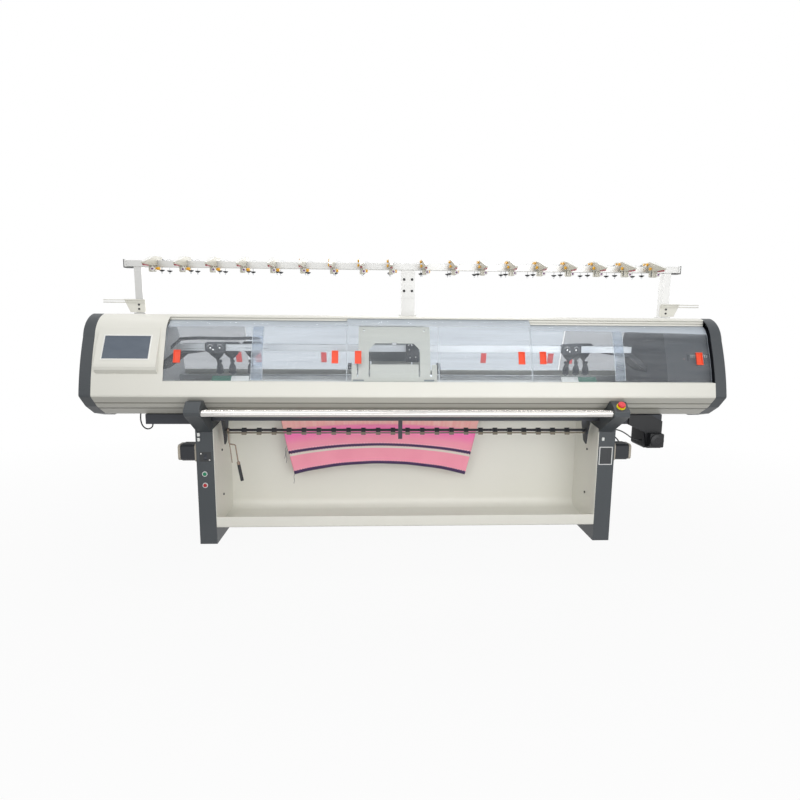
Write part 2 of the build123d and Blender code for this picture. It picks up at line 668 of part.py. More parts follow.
# Feeder rails: four flat bars through the arch, on sloping arms from the bulkheads
rail_ys = [MID_Y + (number - 1.5) * FEEDER_RAIL_PITCH for number in range(4)]
with BuildPart() as feeder_rails:
    for y in rail_ys:
        block((-FEEDER_RAIL_HALF, FEEDER_RAIL_HALF), (y - FEEDER_RAIL_THICK / 2, y + FEEDER_RAIL_THICK / 2),
              (FEEDER_RAIL_Z, FEEDER_RAIL_Z + FEEDER_RAIL_HEIGHT))
save(feeder_rails, "feeder_rails")

arm_half = 1.5 * FEEDER_RAIL_PITCH + FEEDER_RAIL_THICK
with BuildPart() as rail_arms:
    for side in (-1, 1):
        with BuildSketch(facing(HALF_DEPTH - arm_half)):
            with BuildLine():
                Polyline(*[(side * x, z) for x, z in (
                    (ARM_INNER_X, FEEDER_RAIL_Z), (FEEDER_RAIL_HALF, FEEDER_RAIL_Z),
                    (BULKHEAD_X, ARM_END_Z), (BULKHEAD_X, ARM_END_Z - 1.6 * ARM_THICK),
                    (FEEDER_RAIL_HALF - 20, FEEDER_RAIL_Z - ARM_THICK),
                    (ARM_INNER_X, FEEDER_RAIL_Z - ARM_THICK / 2))], close=True)
            make_face()
        extrude(amount=-2 * arm_half)
save(rail_arms, "rail_arms")

# Yarn feeders: a saddle that hugs its rail, and a thin waisted arm down to the needle gap
rail_top = FEEDER_RAIL_Z + FEEDER_RAIL_HEIGHT
saddle_low = FEEDER_RAIL_Z - SLIDER_DROP
for number, (end, from_end, lane) in enumerate(FEEDERS, start=1):
    feeder_x = end * (FEEDER_RAIL_HALF - from_end)
    rail_y = rail_ys[lane]
    tip_y = MID_Y + (lane - 1.5) * TIP_PITCH
    side = -1 if lane < 2 else 1
    slot_half = FEEDER_RAIL_THICK / 2 + CONTACT
    arm_y = rail_y - side * (slot_half + TIP_THICK / 2)
    half = TIP_THICK / 2
    with BuildPart() as feeder:
        with BuildSketch(Plane.YZ.offset(feeder_x - SLIDER_WIDTH / 2)):
            with BuildLine():
                Polyline((arm_y - half, saddle_low + 4), (arm_y - half, saddle_low - 10),
                         (tip_y - half, TIP_Z + 30), (tip_y - half, TIP_Z), (tip_y + half, TIP_Z),
                         (tip_y + half, TIP_Z + 30), (arm_y + half, saddle_low - 10),
                         (arm_y + half, saddle_low + 4), close=True)
            make_face()
        extrude(amount=SLIDER_WIDTH)
        with BuildSketch(facing(0)):
            with BuildLine():
                right_side = [(SLIDER_WIDTH * 0.42, saddle_low + 4), (SLIDER_WIDTH * 0.30, saddle_low - 20),
                              (9, saddle_low - 46), (9, TIP_Z + 34), (24, TIP_Z + 20), (24, TIP_Z + 10),
                              (4, TIP_Z)]
                Polyline(*[(feeder_x + x, z) for x, z in right_side],
                         *[(feeder_x - x, z) for x, z in right_side[::-1]], close=True)
            make_face()
        extrude(amount=-HEAD_DEPTH, mode=Mode.INTERSECT)
        with BuildSketch(upright(rail_y + slot_half + SLIDER_WALL)):
            with Locations((feeder_x, (saddle_low + rail_top + SLIDER_WALL) / 2)):
                saddle = Rectangle(SLIDER_WIDTH, rail_top + SLIDER_WALL - saddle_low)
            chamfer(saddle.vertices(), 12)
        extrude(amount=2 * (slot_half + SLIDER_WALL))
        feeder_x_span = (feeder_x - SLIDER_WIDTH, feeder_x + SLIDER_WIDTH)
        block(feeder_x_span, (rail_y - slot_half, rail_y + slot_half),
              (saddle_low - 1, rail_top + CONTACT), mode=Mode.SUBTRACT)
    save(feeder, f"feeder_{number}")

# Touch bar: a polished tube that stops the machine when it is pressed, held between two brackets
bar_ends = (BRACKET_LEFT_X + CONTACT, BRACKET_RIGHT_X - CONTACT)
bar_y = deep(-BAR_AHEAD)
with BuildPart() as touch_bar:
    with BuildSketch(Plane.YZ.offset(bar_ends[0])):
        with Locations((bar_y, BAR_Z)):
            Circle(BAR_RADIUS)
    extrude(amount=bar_ends[1] - bar_ends[0])
    chamfer(touch_bar.edges().filter_by(GeomType.CIRCLE), 1.5)
    with BuildSketch(Plane.YZ.offset(bar_ends[0] - JOURNAL_DEPTH + 2)):
        with Locations((bar_y, BAR_Z)):
            Circle(JOURNAL_RADIUS)
    extrude(amount=bar_ends[1] - bar_ends[0] + 2 * (JOURNAL_DEPTH - 2))
save(touch_bar, "touch_bar")

seat_top = BELLY[0] * (NOSE_Z - SLOPE_TOP[1]) / (NOSE_Z - BELLY[1]) - 2 * CONTACT
seat = [(seat_top, SLOPE_TOP[1]), (BELLY[0] - 2 * CONTACT, BELLY[1] - 2 * CONTACT),
        (LEG_IN, LIP[1] - 4 * CONTACT), (LEG_IN, 705)]
left_bracket = [(-18, SLOPE_TOP[1]), *seat, (-50, 835), (-BRACKET_REACH, 856), (-62, 874)]
right_bracket = [SLOPE_TOP, *seat, (-62, 835), SLOPE_FOOT]
slope_run = (SLOPE_FOOT[0] - SLOPE_TOP[0], SLOPE_FOOT[1] - SLOPE_TOP[1])
slope_length = math.hypot(*slope_run)
stop_axis = (0, slope_run[1] / slope_length, -slope_run[0] / slope_length)
stop_plane = Plane(
    origin=(BRACKET_RIGHT_X + BRACKET_WIDTH / 2, deep((SLOPE_TOP[0] + SLOPE_FOOT[0]) / 2),
            (SLOPE_TOP[1] + SLOPE_FOOT[1]) / 2), x_dir=(1, 0, 0), z_dir=stop_axis)
for side, points, inner_x in ((-1, left_bracket, BRACKET_LEFT_X), (1, right_bracket, BRACKET_RIGHT_X)):
    with BuildPart() as bracket:
        run(profile(points), inner_x, inner_x + side * BRACKET_WIDTH)
        front_edges = bracket.edges().filter_by(Axis.X).group_by(Axis.Y)[0]
        fillet(front_edges, 6)
        with BuildSketch(Plane.YZ.offset(inner_x)):
            with Locations((bar_y, BAR_Z)):
                Circle(JOURNAL_RADIUS + RUNNING_FIT)
        extrude(amount=side * JOURNAL_DEPTH, mode=Mode.SUBTRACT)
        if side > 0:
            with BuildSketch(stop_plane):
                Circle(STOP_RADIUS + RUNNING_FIT)
            extrude(amount=-36, mode=Mode.SUBTRACT)
    save(bracket, "left_bar_bracket" if side < 0 else "right_bar_bracket")

# Emergency stop: a stem in the sloping top of the right bracket, with a mushroom that also twists
collar_height = 6
with BuildPart() as stop_stem:
    with BuildSketch(stop_plane.offset(-30)):
        Circle(STOP_RADIUS)
    extrude(amount=30 + collar_height + STOP_TRAVEL + 1)
save(stop_stem, "stop_stem")

with BuildPart() as stop_mushroom:
    with BuildSketch(stop_plane.offset(collar_height + STOP_TRAVEL + 1)):
        Circle(21)
    extrude(amount=14)
    fillet(stop_mushroom.faces().sort_by(Axis.Z)[-1].edges(), 5)
save(stop_mushroom, "stop_mushroom")

# Push buttons: a cap in a ring, with a stem through the leg's front wall
for z, button_name in zip(BUTTON_ZS, ("start_button", "stop_button")):
    with BuildPart() as button:
        with BuildSketch(facing(LEG_IN).offset(-LEG_WALL - 6)):
            with Locations((BUTTON_X, z)):
                Circle(BUTTON_STEM)
        extrude(amount=LEG_WALL + 6 + BUTTON_TRAVEL + 1)
        with BuildSketch(facing(LEG_IN).offset(BUTTON_TRAVEL + 1)):
            with Locations((BUTTON_X, z)):
                Circle(BUTTON_RADIUS)
        extrude(amount=5)
        fillet(button.faces().sort_by(Axis.Y)[0].edges(), 1)
    save(button, button_name)

# Rocker: turns on a level axis through the middle of the switch plate
rocker_half = ROCKER_HEIGHT / 2
with BuildPart() as power_toggle:
    with BuildSketch(Plane.YZ.offset(SWITCH_X - ROCKER_WIDTH / 2)):
        with BuildLine():
            face_y = deep(LEG_IN) - PLATE_THICK
            pivot_y = deep(LEG_IN) + 4
            reach = math.sqrt(rocker_half ** 2 - (pivot_y - face_y) ** 2)
            Polyline((face_y, SWITCH_Z - reach), (face_y - 4, SWITCH_Z - reach + 2), (face_y, SWITCH_Z),
                     (face_y - 1, SWITCH_Z + reach - 2), (face_y, SWITCH_Z + reach))
            ThreePointArc((face_y, SWITCH_Z + reach), (pivot_y + rocker_half, SWITCH_Z),
                          (face_y, SWITCH_Z - reach))
        make_face()
    extrude(amount=ROCKER_WIDTH)
save(power_toggle, "power_toggle")

# Plates, rings and clips on the fronts of the legs, and the yellow collar of the emergency stop
with BuildPart() as leg_fittings:
    with BuildSketch(facing(LEG_IN)):
        with Locations((SWITCH_X, SWITCH_Z)):
            RectangleRounded(*SWITCH_PLATE, 4)
            Rectangle(ROCKER_WIDTH + 1, ROCKER_HEIGHT + 1, mode=Mode.SUBTRACT)
        with Locations((-SWITCH_X, SWITCH_Z)):
            RectangleRounded(*NAME_PLATE, 3)
    extrude(amount=PLATE_THICK)
    with BuildSketch(facing(LEG_IN)):
        with Locations(*[(BUTTON_X, z) for z in BUTTON_ZS]):
            Circle(RING_RADIUS)
            Circle(BUTTON_RADIUS + 0.4, mode=Mode.SUBTRACT)
    extrude(amount=RING_PROUD)
    with BuildSketch(facing(LEG_IN)):
        with Locations(*LEG_CLIPS):
            RectangleRounded(*LEG_CLIP_SIZE, 3)
    extrude(amount=LEG_CLIP_PROUD)
    with BuildSketch(stop_plane):
        Circle(COLLAR_RADIUS)
        Circle(STOP_RADIUS + 1, mode=Mode.SUBTRACT)
    extrude(amount=collar_height)
save(leg_fittings, "leg_fittings")

# Cloth bin: one folded and welded steel tray between the legs
bin_front = deep(LEG_IN)
bin_back = deep(BIN_BACK)
with BuildPart() as cloth_bin:
    with BuildSketch(Plane.YZ.offset(-LEG_INNER_X)) as bin_section:
        with BuildLine():
            FilletPolyline((bin_front, BIN_Z + BIN_LIP), (bin_front, BIN_Z), (bin_back, BIN_Z),
                           (bin_back, FRAME_Z), radius=(8, BIN_BEND))
            FilletPolyline((bin_front + BIN_WALL, BIN_Z + BIN_LIP),
                           (bin_front + BIN_WALL, BIN_Z + BIN_WALL),
                           (bin_back - BIN_WALL, BIN_Z + BIN_WALL), (bin_back - BIN_WALL, FRAME_Z),
                           radius=(5, BIN_BEND - BIN_WALL))
            Line((bin_front, BIN_Z + BIN_LIP), (bin_front + BIN_WALL, BIN_Z + BIN_LIP))
            Line((bin_back, FRAME_Z), (bin_back - BIN_WALL, FRAME_Z))
        make_face()
    extrude(amount=2 * LEG_INNER_X)
    for side in (-1, 1):
        with BuildSketch(Plane.YZ.offset(side * LEG_INNER_X)):
            with BuildLine():
                FilletPolyline((bin_front, BIN_SIDE_TOP), (bin_front, BIN_Z), (bin_back, BIN_Z),
                               (bin_back, FRAME_Z), radius=(8, BIN_BEND))
                Line((bin_back, FRAME_Z), (bin_front, BIN_SIDE_TOP))
            make_face()
        extrude(amount=-side * BIN_WALL)
save(cloth_bin, "cloth_bin")

# Take-down rollers: two rubber-covered rollers that pull the cloth down between them
for side, roller_name in ((-1, "front_roller"), (1, "rear_roller")):
    roller_y = MID_Y + side * (FABRIC_THICK / 2 + CONTACT + ROLLER_RADIUS)
    with BuildPart() as roller:
        with BuildSketch(Plane.YZ.offset(-ROLLER_HALF)):
            with Locations((roller_y, ROLLER_Z)):
                Circle(ROLLER_RADIUS)
        extrude(amount=2 * ROLLER_HALF)
        with BuildSketch(Plane.YZ.offset(-SLOT_END - 20)):
            with Locations((roller_y, ROLLER_Z)):
                Circle(ROLLER_JOURNAL)
        extrude(amount=2 * (SLOT_END + 20))
    save(roller, roller_name)

# Pressure shaft: a black shaft and a steel rod side by side, gripped by a row of spring clips
shaft_y = deep(SHAFT_IN)
with BuildPart() as clip_shaft:
    shaft_end = SHAFT_BRACKET_X + 10
    with BuildSketch(Plane.YZ.offset(-shaft_end)):
        with Locations((shaft_y, SHAFT_Z)):
            Circle(SHAFT_RADIUS)
    extrude(amount=2 * shaft_end)
    with BuildSketch(Plane.YZ.offset(-SHAFT_BRACKET_X + 8)):
        with Locations((deep(ROD_IN), ROD_Z)):
            Circle(ROD_RADIUS)
    extrude(amount=2 * (SHAFT_BRACKET_X - 8))
    clip_points = [(SHAFT_IN - 6, SHAFT_Z + 16), (SHAFT_IN + 7, SHAFT_Z + 13), (SHAFT_IN + 12, SHAFT_Z - 6),
                   (ROD_IN + 4, ROD_Z - 13), (ROD_IN - 6, ROD_Z - 12), (ROD_IN - 9, ROD_Z + 6)]
    for number in range(CLIP_COUNT):
        clip_x = CLIP_X + (number - (CLIP_COUNT - 1) / 2) * CLIP_PITCH
        run(profile(clip_points), clip_x - CLIP_WIDTH / 2, clip_x + CLIP_WIDTH / 2)
save(clip_shaft, "clip_shaft")

# Hangers of the pressure shaft: a curved plate at each end and an arm with a bolt at the middle
with BuildPart() as roller_brackets:
    for side in (-1, 1):
        run(profile([(BEAM_IN + 10, FRAME_Z), (SHAFT_IN + 70, FRAME_Z), (SHAFT_IN + 60, SHAFT_Z + 30),
                     (SHAFT_IN + 18, SHAFT_Z - 70), (SHAFT_IN - 20, SHAFT_Z - 86),
                     (SHAFT_IN - 36, SHAFT_Z - 20)]),
            side * SHAFT_BRACKET_X, side * (SHAFT_BRACKET_X + HANGER_THICK))
        with BuildSketch(Plane.YZ.offset(side * SHAFT_BRACKET_X)):
            with Locations((shaft_y, SHAFT_Z)):
                Circle(SHAFT_RADIUS + RUNNING_FIT)
        extrude(amount=side * HANGER_THICK, mode=Mode.SUBTRACT)
    run(profile([(SHAFT_IN - 48, FRAME_Z), (SHAFT_IN - 34, FRAME_Z), (SHAFT_IN - 34, SHAFT_Z - 50),
                 (SHAFT_IN - 48, SHAFT_Z - 44)]), -63, -38)
    with BuildSketch(facing(SHAFT_IN - 48)):
        with Locations((-50.5, FRAME_Z - 22)):
            RegularPolygon(8, 6)
    extrude(amount=6)
save(roller_brackets, "roller_brackets")

# Pressure lever: a bent steel rod with a plastic grip, and a brass wire beside it
with BuildPart() as pressure_lever:
    with BuildSketch(Plane.YZ.offset(LEVER_X - 6)):
        with Locations((shaft_y, SHAFT_Z)):
            Circle(SHAFT_RADIUS + 5)
            Circle(SHAFT_RADIUS + RUNNING_FIT, mode=Mode.SUBTRACT)
    extrude(amount=12)
    with BuildLine() as rod_path:
        FilletPolyline((LEVER_X, shaft_y, SHAFT_Z - 12), (LEVER_X, shaft_y, SHAFT_Z - 88),
                       (LEVER_X + 38, shaft_y, SHAFT_Z - 94), (LEVER_X + 52, shaft_y, SHAFT_Z - 202),
                       radius=12)
    with BuildSketch(Plane(origin=rod_path.line @ 0, z_dir=rod_path.line % 0)):
        Circle(LEVER_ROD)
    sweep(path=rod_path.line)
    with BuildLine() as grip_path:
        Line((LEVER_X + 52, shaft_y, SHAFT_Z - 202), (LEVER_X + 73, shaft_y, SHAFT_Z - 324))
    with BuildSketch(Plane(origin=grip_path.line @ 0, z_dir=grip_path.line % 0)):
        Circle(LEVER_GRIP)
    sweep(path=grip_path.line)
    with BuildLine() as wire_path:
        Line((LEVER_X + 2, shaft_y, SHAFT_Z - 80), (LEVER_X + 15, shaft_y, SHAFT_Z - 208))
    with BuildSketch(Plane(origin=wire_path.line @ 0, z_dir=wire_path.line % 0)):
        Circle(LEVER_WIRE)
    sweep(path=wire_path.line)
save(pressure_lever, "pressure_lever")

# Take-down steppers: one on the outer side of each leg, with a flange and an end plate
with BuildPart() as takedown_motors:
    for side in (-1, 1):
        stages = ((0, 12, STEPPER_SIZE + 10), (12, 80, STEPPER_SIZE), (92, 23, STEPPER_SIZE - 6))
        for start, length, size in stages:
            with BuildSketch(Plane.YZ.offset(side * (LEG_OUTER_X + start))):
                with Locations((deep(STEPPER_IN + 10), STEPPER_Z)):
                    can = Rectangle(size, size)
                chamfer(can.vertices(), 12)
            extrude(amount=side * length)
save(takedown_motors, "takedown_motors")

# Main motor: a can on a gusset below the right-hand outrigger
with BuildPart() as main_motor:
    with BuildSketch(facing(BEAM_IN)):
        with BuildLine():
            gusset_low = MOTOR_Z - MOTOR_SIZE[1] / 2
            Polyline((MOTOR_X - 156, FRAME_TOP - 2), (MOTOR_X - 20, FRAME_TOP - 2), (FRAME_END, FRAME_Z),
                     (FRAME_END, gusset_low), (MOTOR_X - 30, gusset_low), (MOTOR_X - 50, gusset_low + 100),
                     (MOTOR_X - 156, FRAME_Z - 22), close=True)
        make_face()
    extrude(amount=GUSSET_THICK)
    with BuildSketch(facing(BEAM_IN)):
        with Locations((MOTOR_X, MOTOR_Z)):
            housing = Rectangle(*MOTOR_SIZE)
        chamfer(housing.vertices(), 10)
    extrude(amount=-MOTOR_LENGTH)
    with BuildSketch(facing(BEAM_IN - GUSSET_THICK)):
        with Locations((MOTOR_X + 10, MOTOR_Z - 5)):
            RectangleRounded(MOTOR_NOSE, MOTOR_NOSE, 8)
    extrude(amount=40)
save(main_motor, "main_motor")

# Yarn gantry: three posts on the top beam, a square rail across them and a bracket at each end
rail_y_span = (deep(RAIL_IN), deep(RAIL_IN + RAIL_SIZE))
rail_middle = (deep(RAIL_IN + RAIL_SIZE / 2), RAIL_Z + RAIL_SIZE / 2)
rail_top_z = RAIL_Z + RAIL_SIZE
with BuildPart() as yarn_rail:
    with BuildSketch(Plane.YZ.offset(-RAIL_HALF)):
        with Locations(rail_middle):
            RectangleRounded(RAIL_SIZE, RAIL_SIZE, 2)
            Rectangle(RAIL_SIZE - 2 * RAIL_WALL, RAIL_SIZE - 2 * RAIL_WALL, mode=Mode.SUBTRACT)
    extrude(amount=2 * RAIL_HALF)
    for side in (-1, 1):
        with BuildSketch(Plane.YZ.offset(side * RAIL_HALF)):
            with Locations(rail_middle):
                RectangleRounded(RAIL_SIZE + 6, RAIL_SIZE + 6, 4)
        extrude(amount=side * 12)
save(yarn_rail, "yarn_rail")

post_y = (deep(POST_IN), deep(POST_IN + POST_DEPTH))
with BuildPart() as rail_posts:
    for x, width in ((-POST_X, POST_WIDTH), (0, CENTRE_POST_WIDTH), (POST_X, POST_WIDTH)):
        block((x - width / 2, x + width / 2), post_y, (HEAD_TOP, RAIL_Z))
        block((x - width / 2 - POST_FOOT, x + width / 2 + POST_FOOT),
              (post_y[0] - POST_FOOT / 2, post_y[1] + POST_FOOT), (HEAD_TOP, HEAD_TOP + 10))
    half = CENTRE_POST_WIDTH / 2
    block((-half, half), (post_y[0] - 4, post_y[0]), POST_PLATE_Z)
save(rail_posts, "rail_posts")

with BuildPart() as guide_brackets:
    for side in (-1, 1):
        inner, outer = POST_X - POST_WIDTH / 2 - 14, POST_X + 90
        with BuildSketch(facing(POST_IN - 6)):
            with BuildLine():
                Polyline(*[(side * x, z) for x, z in (
                    (inner, TRAY_FOOT), (outer - 36, TRAY_FOOT), (outer, TRAY_TOP), (inner, TRAY_TOP))],
                         close=True)
            make_face()
        extrude(amount=4)
        block((side * inner, side * (POST_X + POST_WIDTH / 2)), (deep(POST_IN - 6), deep(POST_IN)),
              (TRAY_FOOT + 8, TRAY_TOP - 12))
        for z in (TRAY_TOP - 6, TRAY_TOP - 20):
            with BuildSketch(Plane.YZ.offset(side * inner)):
                with Locations((deep(POST_IN - 13), z)):
                    Circle(3)
            extrude(amount=side * (ROD_REACH - inner))
save(guide_brackets, "guide_brackets")

# Tension devices: a sloping housing over the rail, a lamp bar under its nose, a clamp, knobs on both
# sides, a guide disc at the front, and two round tensioners on stems under a rear arm
half = DEVICE_WIDTH / 2
device_body = [(DEVICE_NOSE_IN, RAIL_Z + 3), (DEVICE_NOSE_IN, RAIL_Z + 12),
               (RAIL_IN - 26, RAIL_Z + 62), (DEVICE_BACK_IN, RAIL_Z + 68),
               (DEVICE_BACK_IN, RAIL_Z + 50), (RAIL_IN + RAIL_SIZE + 6, rail_top_z),
               (RAIL_IN - CONTACT, rail_top_z), (RAIL_IN - CONTACT, RAIL_Z + 10),
               (RAIL_IN - 80, RAIL_Z + 2)]
device_arm = [(DEVICE_BACK_IN - 20, RAIL_Z + 66), (ARM_REACH, RAIL_Z + 44),
              (ARM_REACH, RAIL_Z + 36), (DEVICE_BACK_IN - 20, RAIL_Z + 54)]
lamp_long, lamp_width, lamp_high = LAMP_BAR
clamp_deep, clamp_width, clamp_high = CLAMP_BAR
disc_x, guide_radius, guide_thick = GUIDE_DISC
device_knobs = ((-half, RAIL_IN + 50, RAIL_Z + 56, 7, -8), (-half, RAIL_IN + 4, RAIL_Z + 51, 9, -12),
                (-half, RAIL_IN - 40, RAIL_Z + 20, 10, -12),
                (clamp_width / 2, RAIL_IN - 17, RAIL_Z - 11, 8, 26))
tensioners = ((RAIL_IN + 109, RAIL_Z - 7, RAIL_Z + 55), (RAIL_IN + 240, RAIL_Z, RAIL_Z + 40))
with BuildPart() as device:
    run(profile(device_body), -half, half)
    run(profile(device_arm), -ARM_WIDTH / 2, ARM_WIDTH / 2)
    with Locations((0, deep(DEVICE_NOSE_IN + 10 + lamp_long / 2), RAIL_Z + 3)):
        Box(lamp_width, lamp_long, 2 * lamp_high)
    with Locations((0, deep(RAIL_IN - 4 - clamp_deep / 2), RAIL_Z + 12 - clamp_high / 2)):
        Box(clamp_width, clamp_deep, clamp_high)
    for x, depth, z, radius, length in device_knobs:
        with BuildSketch(Plane.YZ.offset(x)):
            with Locations((deep(depth), z)):
                Circle(radius)
        extrude(amount=length)
    with BuildSketch(facing(RAIL_IN - 4 - clamp_deep)):
        with Locations((disc_x, RAIL_Z - 18)):
            Circle(guide_radius)
    extrude(amount=guide_thick)
    for depth, top_z, under_z in tensioners:
        with Locations((0, deep(depth), top_z - DISC_THICK / 2)):
            Cylinder(DISC_RADIUS, DISC_THICK)
        with Locations((0, deep(depth), (under_z + top_z - DISC_TIP) / 2)):
            Cylinder(DISC_STEM, under_z - top_z + DISC_TIP)
with BuildPart() as tension_devices:
    first_x = DEVICE_MARGINS[0] - RAIL_HALF
    last_x = RAIL_HALF - DEVICE_MARGINS[1]
    steps = [number * DEVICE_PITCH for number in range(DEVICE_ROW)]
    with Locations(*[(x, 0, 0) for step in steps for x in (first_x + step, last_x - step)]):
        add(device.part)
save(tension_devices, "tension_devices")

# Cloth: one knitted panel that hangs from the needle gap through the rollers
with BuildPart() as knit_fabric:
    with BuildSketch(upright(MID_Y - FABRIC_THICK / 2)):
        with BuildLine():
            Polyline(*CLOTH_RIGHT, *CLOTH_LEFT)
            ThreePointArc(CLOTH_LEFT[-1], CLOTH_HEM_MIDDLE, CLOTH_RIGHT[0])
        make_face()
    extrude(amount=-FABRIC_THICK)
save(knit_fabric, "knit_fabric")

# Cables: two from the main motor and the stepper into the right leg, one loop at the left end
with BuildPart() as cables:
    for start_x, route in CABLE_ROUTES:
        points = [Vector(start_x + x, deep(depth), z) for x, depth, z in route]
        runs = [after - before for before, after in zip(points, points[1:])]
        radii = []
        for before, after in zip(runs, runs[1:]):
            turn = math.radians(before.get_angle(after))
            radii.append(0.45 * min(before.length, after.length) / math.tan(turn / 2))
        with BuildLine() as cable_path:
            FilletPolyline(*points, radius=radii)
        with BuildSketch(Plane(origin=cable_path.line @ 0, z_dir=cable_path.line % 0)):
            Circle(CABLE_RADIUS)
        sweep(path=cable_path.line)
save(cables, "cables")

# Screw heads: bin sides, centre post plate, end brackets and switch plate
with BuildPart() as screws:
    for side in (-1, 1):
        with BuildSketch(Plane.YZ.offset(side * (LEG_INNER_X - BIN_WALL))):
            with Locations(*[(deep(depth), z) for depth, z in BIN_SCREWS]):
                Circle(SCREW_RADIUS + 1)
        extrude(amount=-side * (SCREW_PROUD + 1))
        with BuildSketch(facing(POST_IN - 10)):
            with Locations(*[(side * POST_X, HEAD_TOP + rise) for rise in TRAY_BOLT_RISES]):
                Circle(SCREW_RADIUS)
        extrude(amount=SCREW_PROUD)
    with BuildSketch(facing(POST_IN - 4)):
        with Locations(*[(x, HEAD_TOP + rise) for x in (-POST_BOLT_X, POST_BOLT_X)
                         for rise in POST_BOLT_RISES]):
            Circle(SCREW_RADIUS + 2)
    extrude(amount=SCREW_PROUD + 2)
    with BuildSketch(facing(LEG_IN - PLATE_THICK)):
        with Locations((SWITCH_X - 25, SWITCH_Z + 20), (SWITCH_X + 25, SWITCH_Z - 20)):
            Circle(4)
    extrude(amount=2)
save(screws, "screws")
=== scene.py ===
# A computer-controlled flat knitting machine, dressed round its CAD model. All sizes are in metres.
# X runs along the machine, Y from the operator's side to the back, Z up from the floor.
import bmesh
import bpy
import math
import numpy as np
from mathutils import Matrix


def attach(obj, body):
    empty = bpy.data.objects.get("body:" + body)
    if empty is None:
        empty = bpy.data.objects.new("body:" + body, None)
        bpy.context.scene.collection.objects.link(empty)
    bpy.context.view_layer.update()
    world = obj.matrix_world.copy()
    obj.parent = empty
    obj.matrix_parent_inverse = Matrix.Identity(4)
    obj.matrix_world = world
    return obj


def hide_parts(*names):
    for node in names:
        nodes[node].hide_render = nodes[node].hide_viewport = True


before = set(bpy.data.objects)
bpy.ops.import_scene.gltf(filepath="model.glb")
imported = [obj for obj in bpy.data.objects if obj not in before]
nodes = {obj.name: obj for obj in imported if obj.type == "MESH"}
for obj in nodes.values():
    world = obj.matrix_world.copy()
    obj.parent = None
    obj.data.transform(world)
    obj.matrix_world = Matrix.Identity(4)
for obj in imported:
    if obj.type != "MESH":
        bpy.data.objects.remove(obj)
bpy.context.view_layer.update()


# Camera: it stands before the machine, a little left of its middle, and looks slightly down,
# as in the photograph.
def placed(name, data):
    """A new object of the scene that shows this data."""
    made = bpy.data.objects.new(name, data)
    bpy.context.collection.objects.link(made)
    return made


def posed(to_right, to_top, back, place):
    """The matrix of an object whose own X, Y and Z point to the right, to the top and back."""
    matrix = np.eye(4)
    matrix[:3] = np.stack([to_right, to_top, back, place], -1)
    return Matrix(matrix.tolist())


camera_place = (-0.1943, -3.4443, 1.3721)
turn, tilt, lean = 0.0432, -0.146, 0.0082
ahead = np.array([math.sin(turn) * math.cos(tilt), math.cos(turn) * math.cos(tilt), math.sin(tilt)])
level = np.array([math.cos(turn), -math.sin(turn), 0.0])
above = np.cross(level, ahead)
to_right = math.cos(lean) * level + math.sin(lean) * above
to_top = math.cos(lean) * above - math.sin(lean) * level
lens = bpy.data.cameras.new("camera")
lens.sensor_width, lens.lens = 36.0, 24.14
camera = placed("camera", lens)
camera.matrix_world = posed(to_right, to_top, -ahead, camera_place)
bpy.context.scene.camera = camera


# Cables: two black leads run from the right leg to the main motor and to its stepper, and a third
# hangs in a loop below the left end of the head. They are soft PVC over stranded copper.
def linear(red, green, blue, share=1.0):
    """A screen colour of 0 to 255 as the linear colour that a shader takes, at a share of its light."""
    screen = np.array([red, green, blue]) / 255
    light = np.where(screen <= 0.04045, screen / 12.92, ((screen + 0.055) / 1.055) ** 2.4) * share
    return (*light.tolist(), 1.0)


def operator(operation, swapped=False):
    """A Python operator on wires that adds one Math node."""
    def applied(wire, other=0.0):
        first, second = (other, wire) if swapped else (wire, other)
        return wire.math(operation, first, second)
    return applied


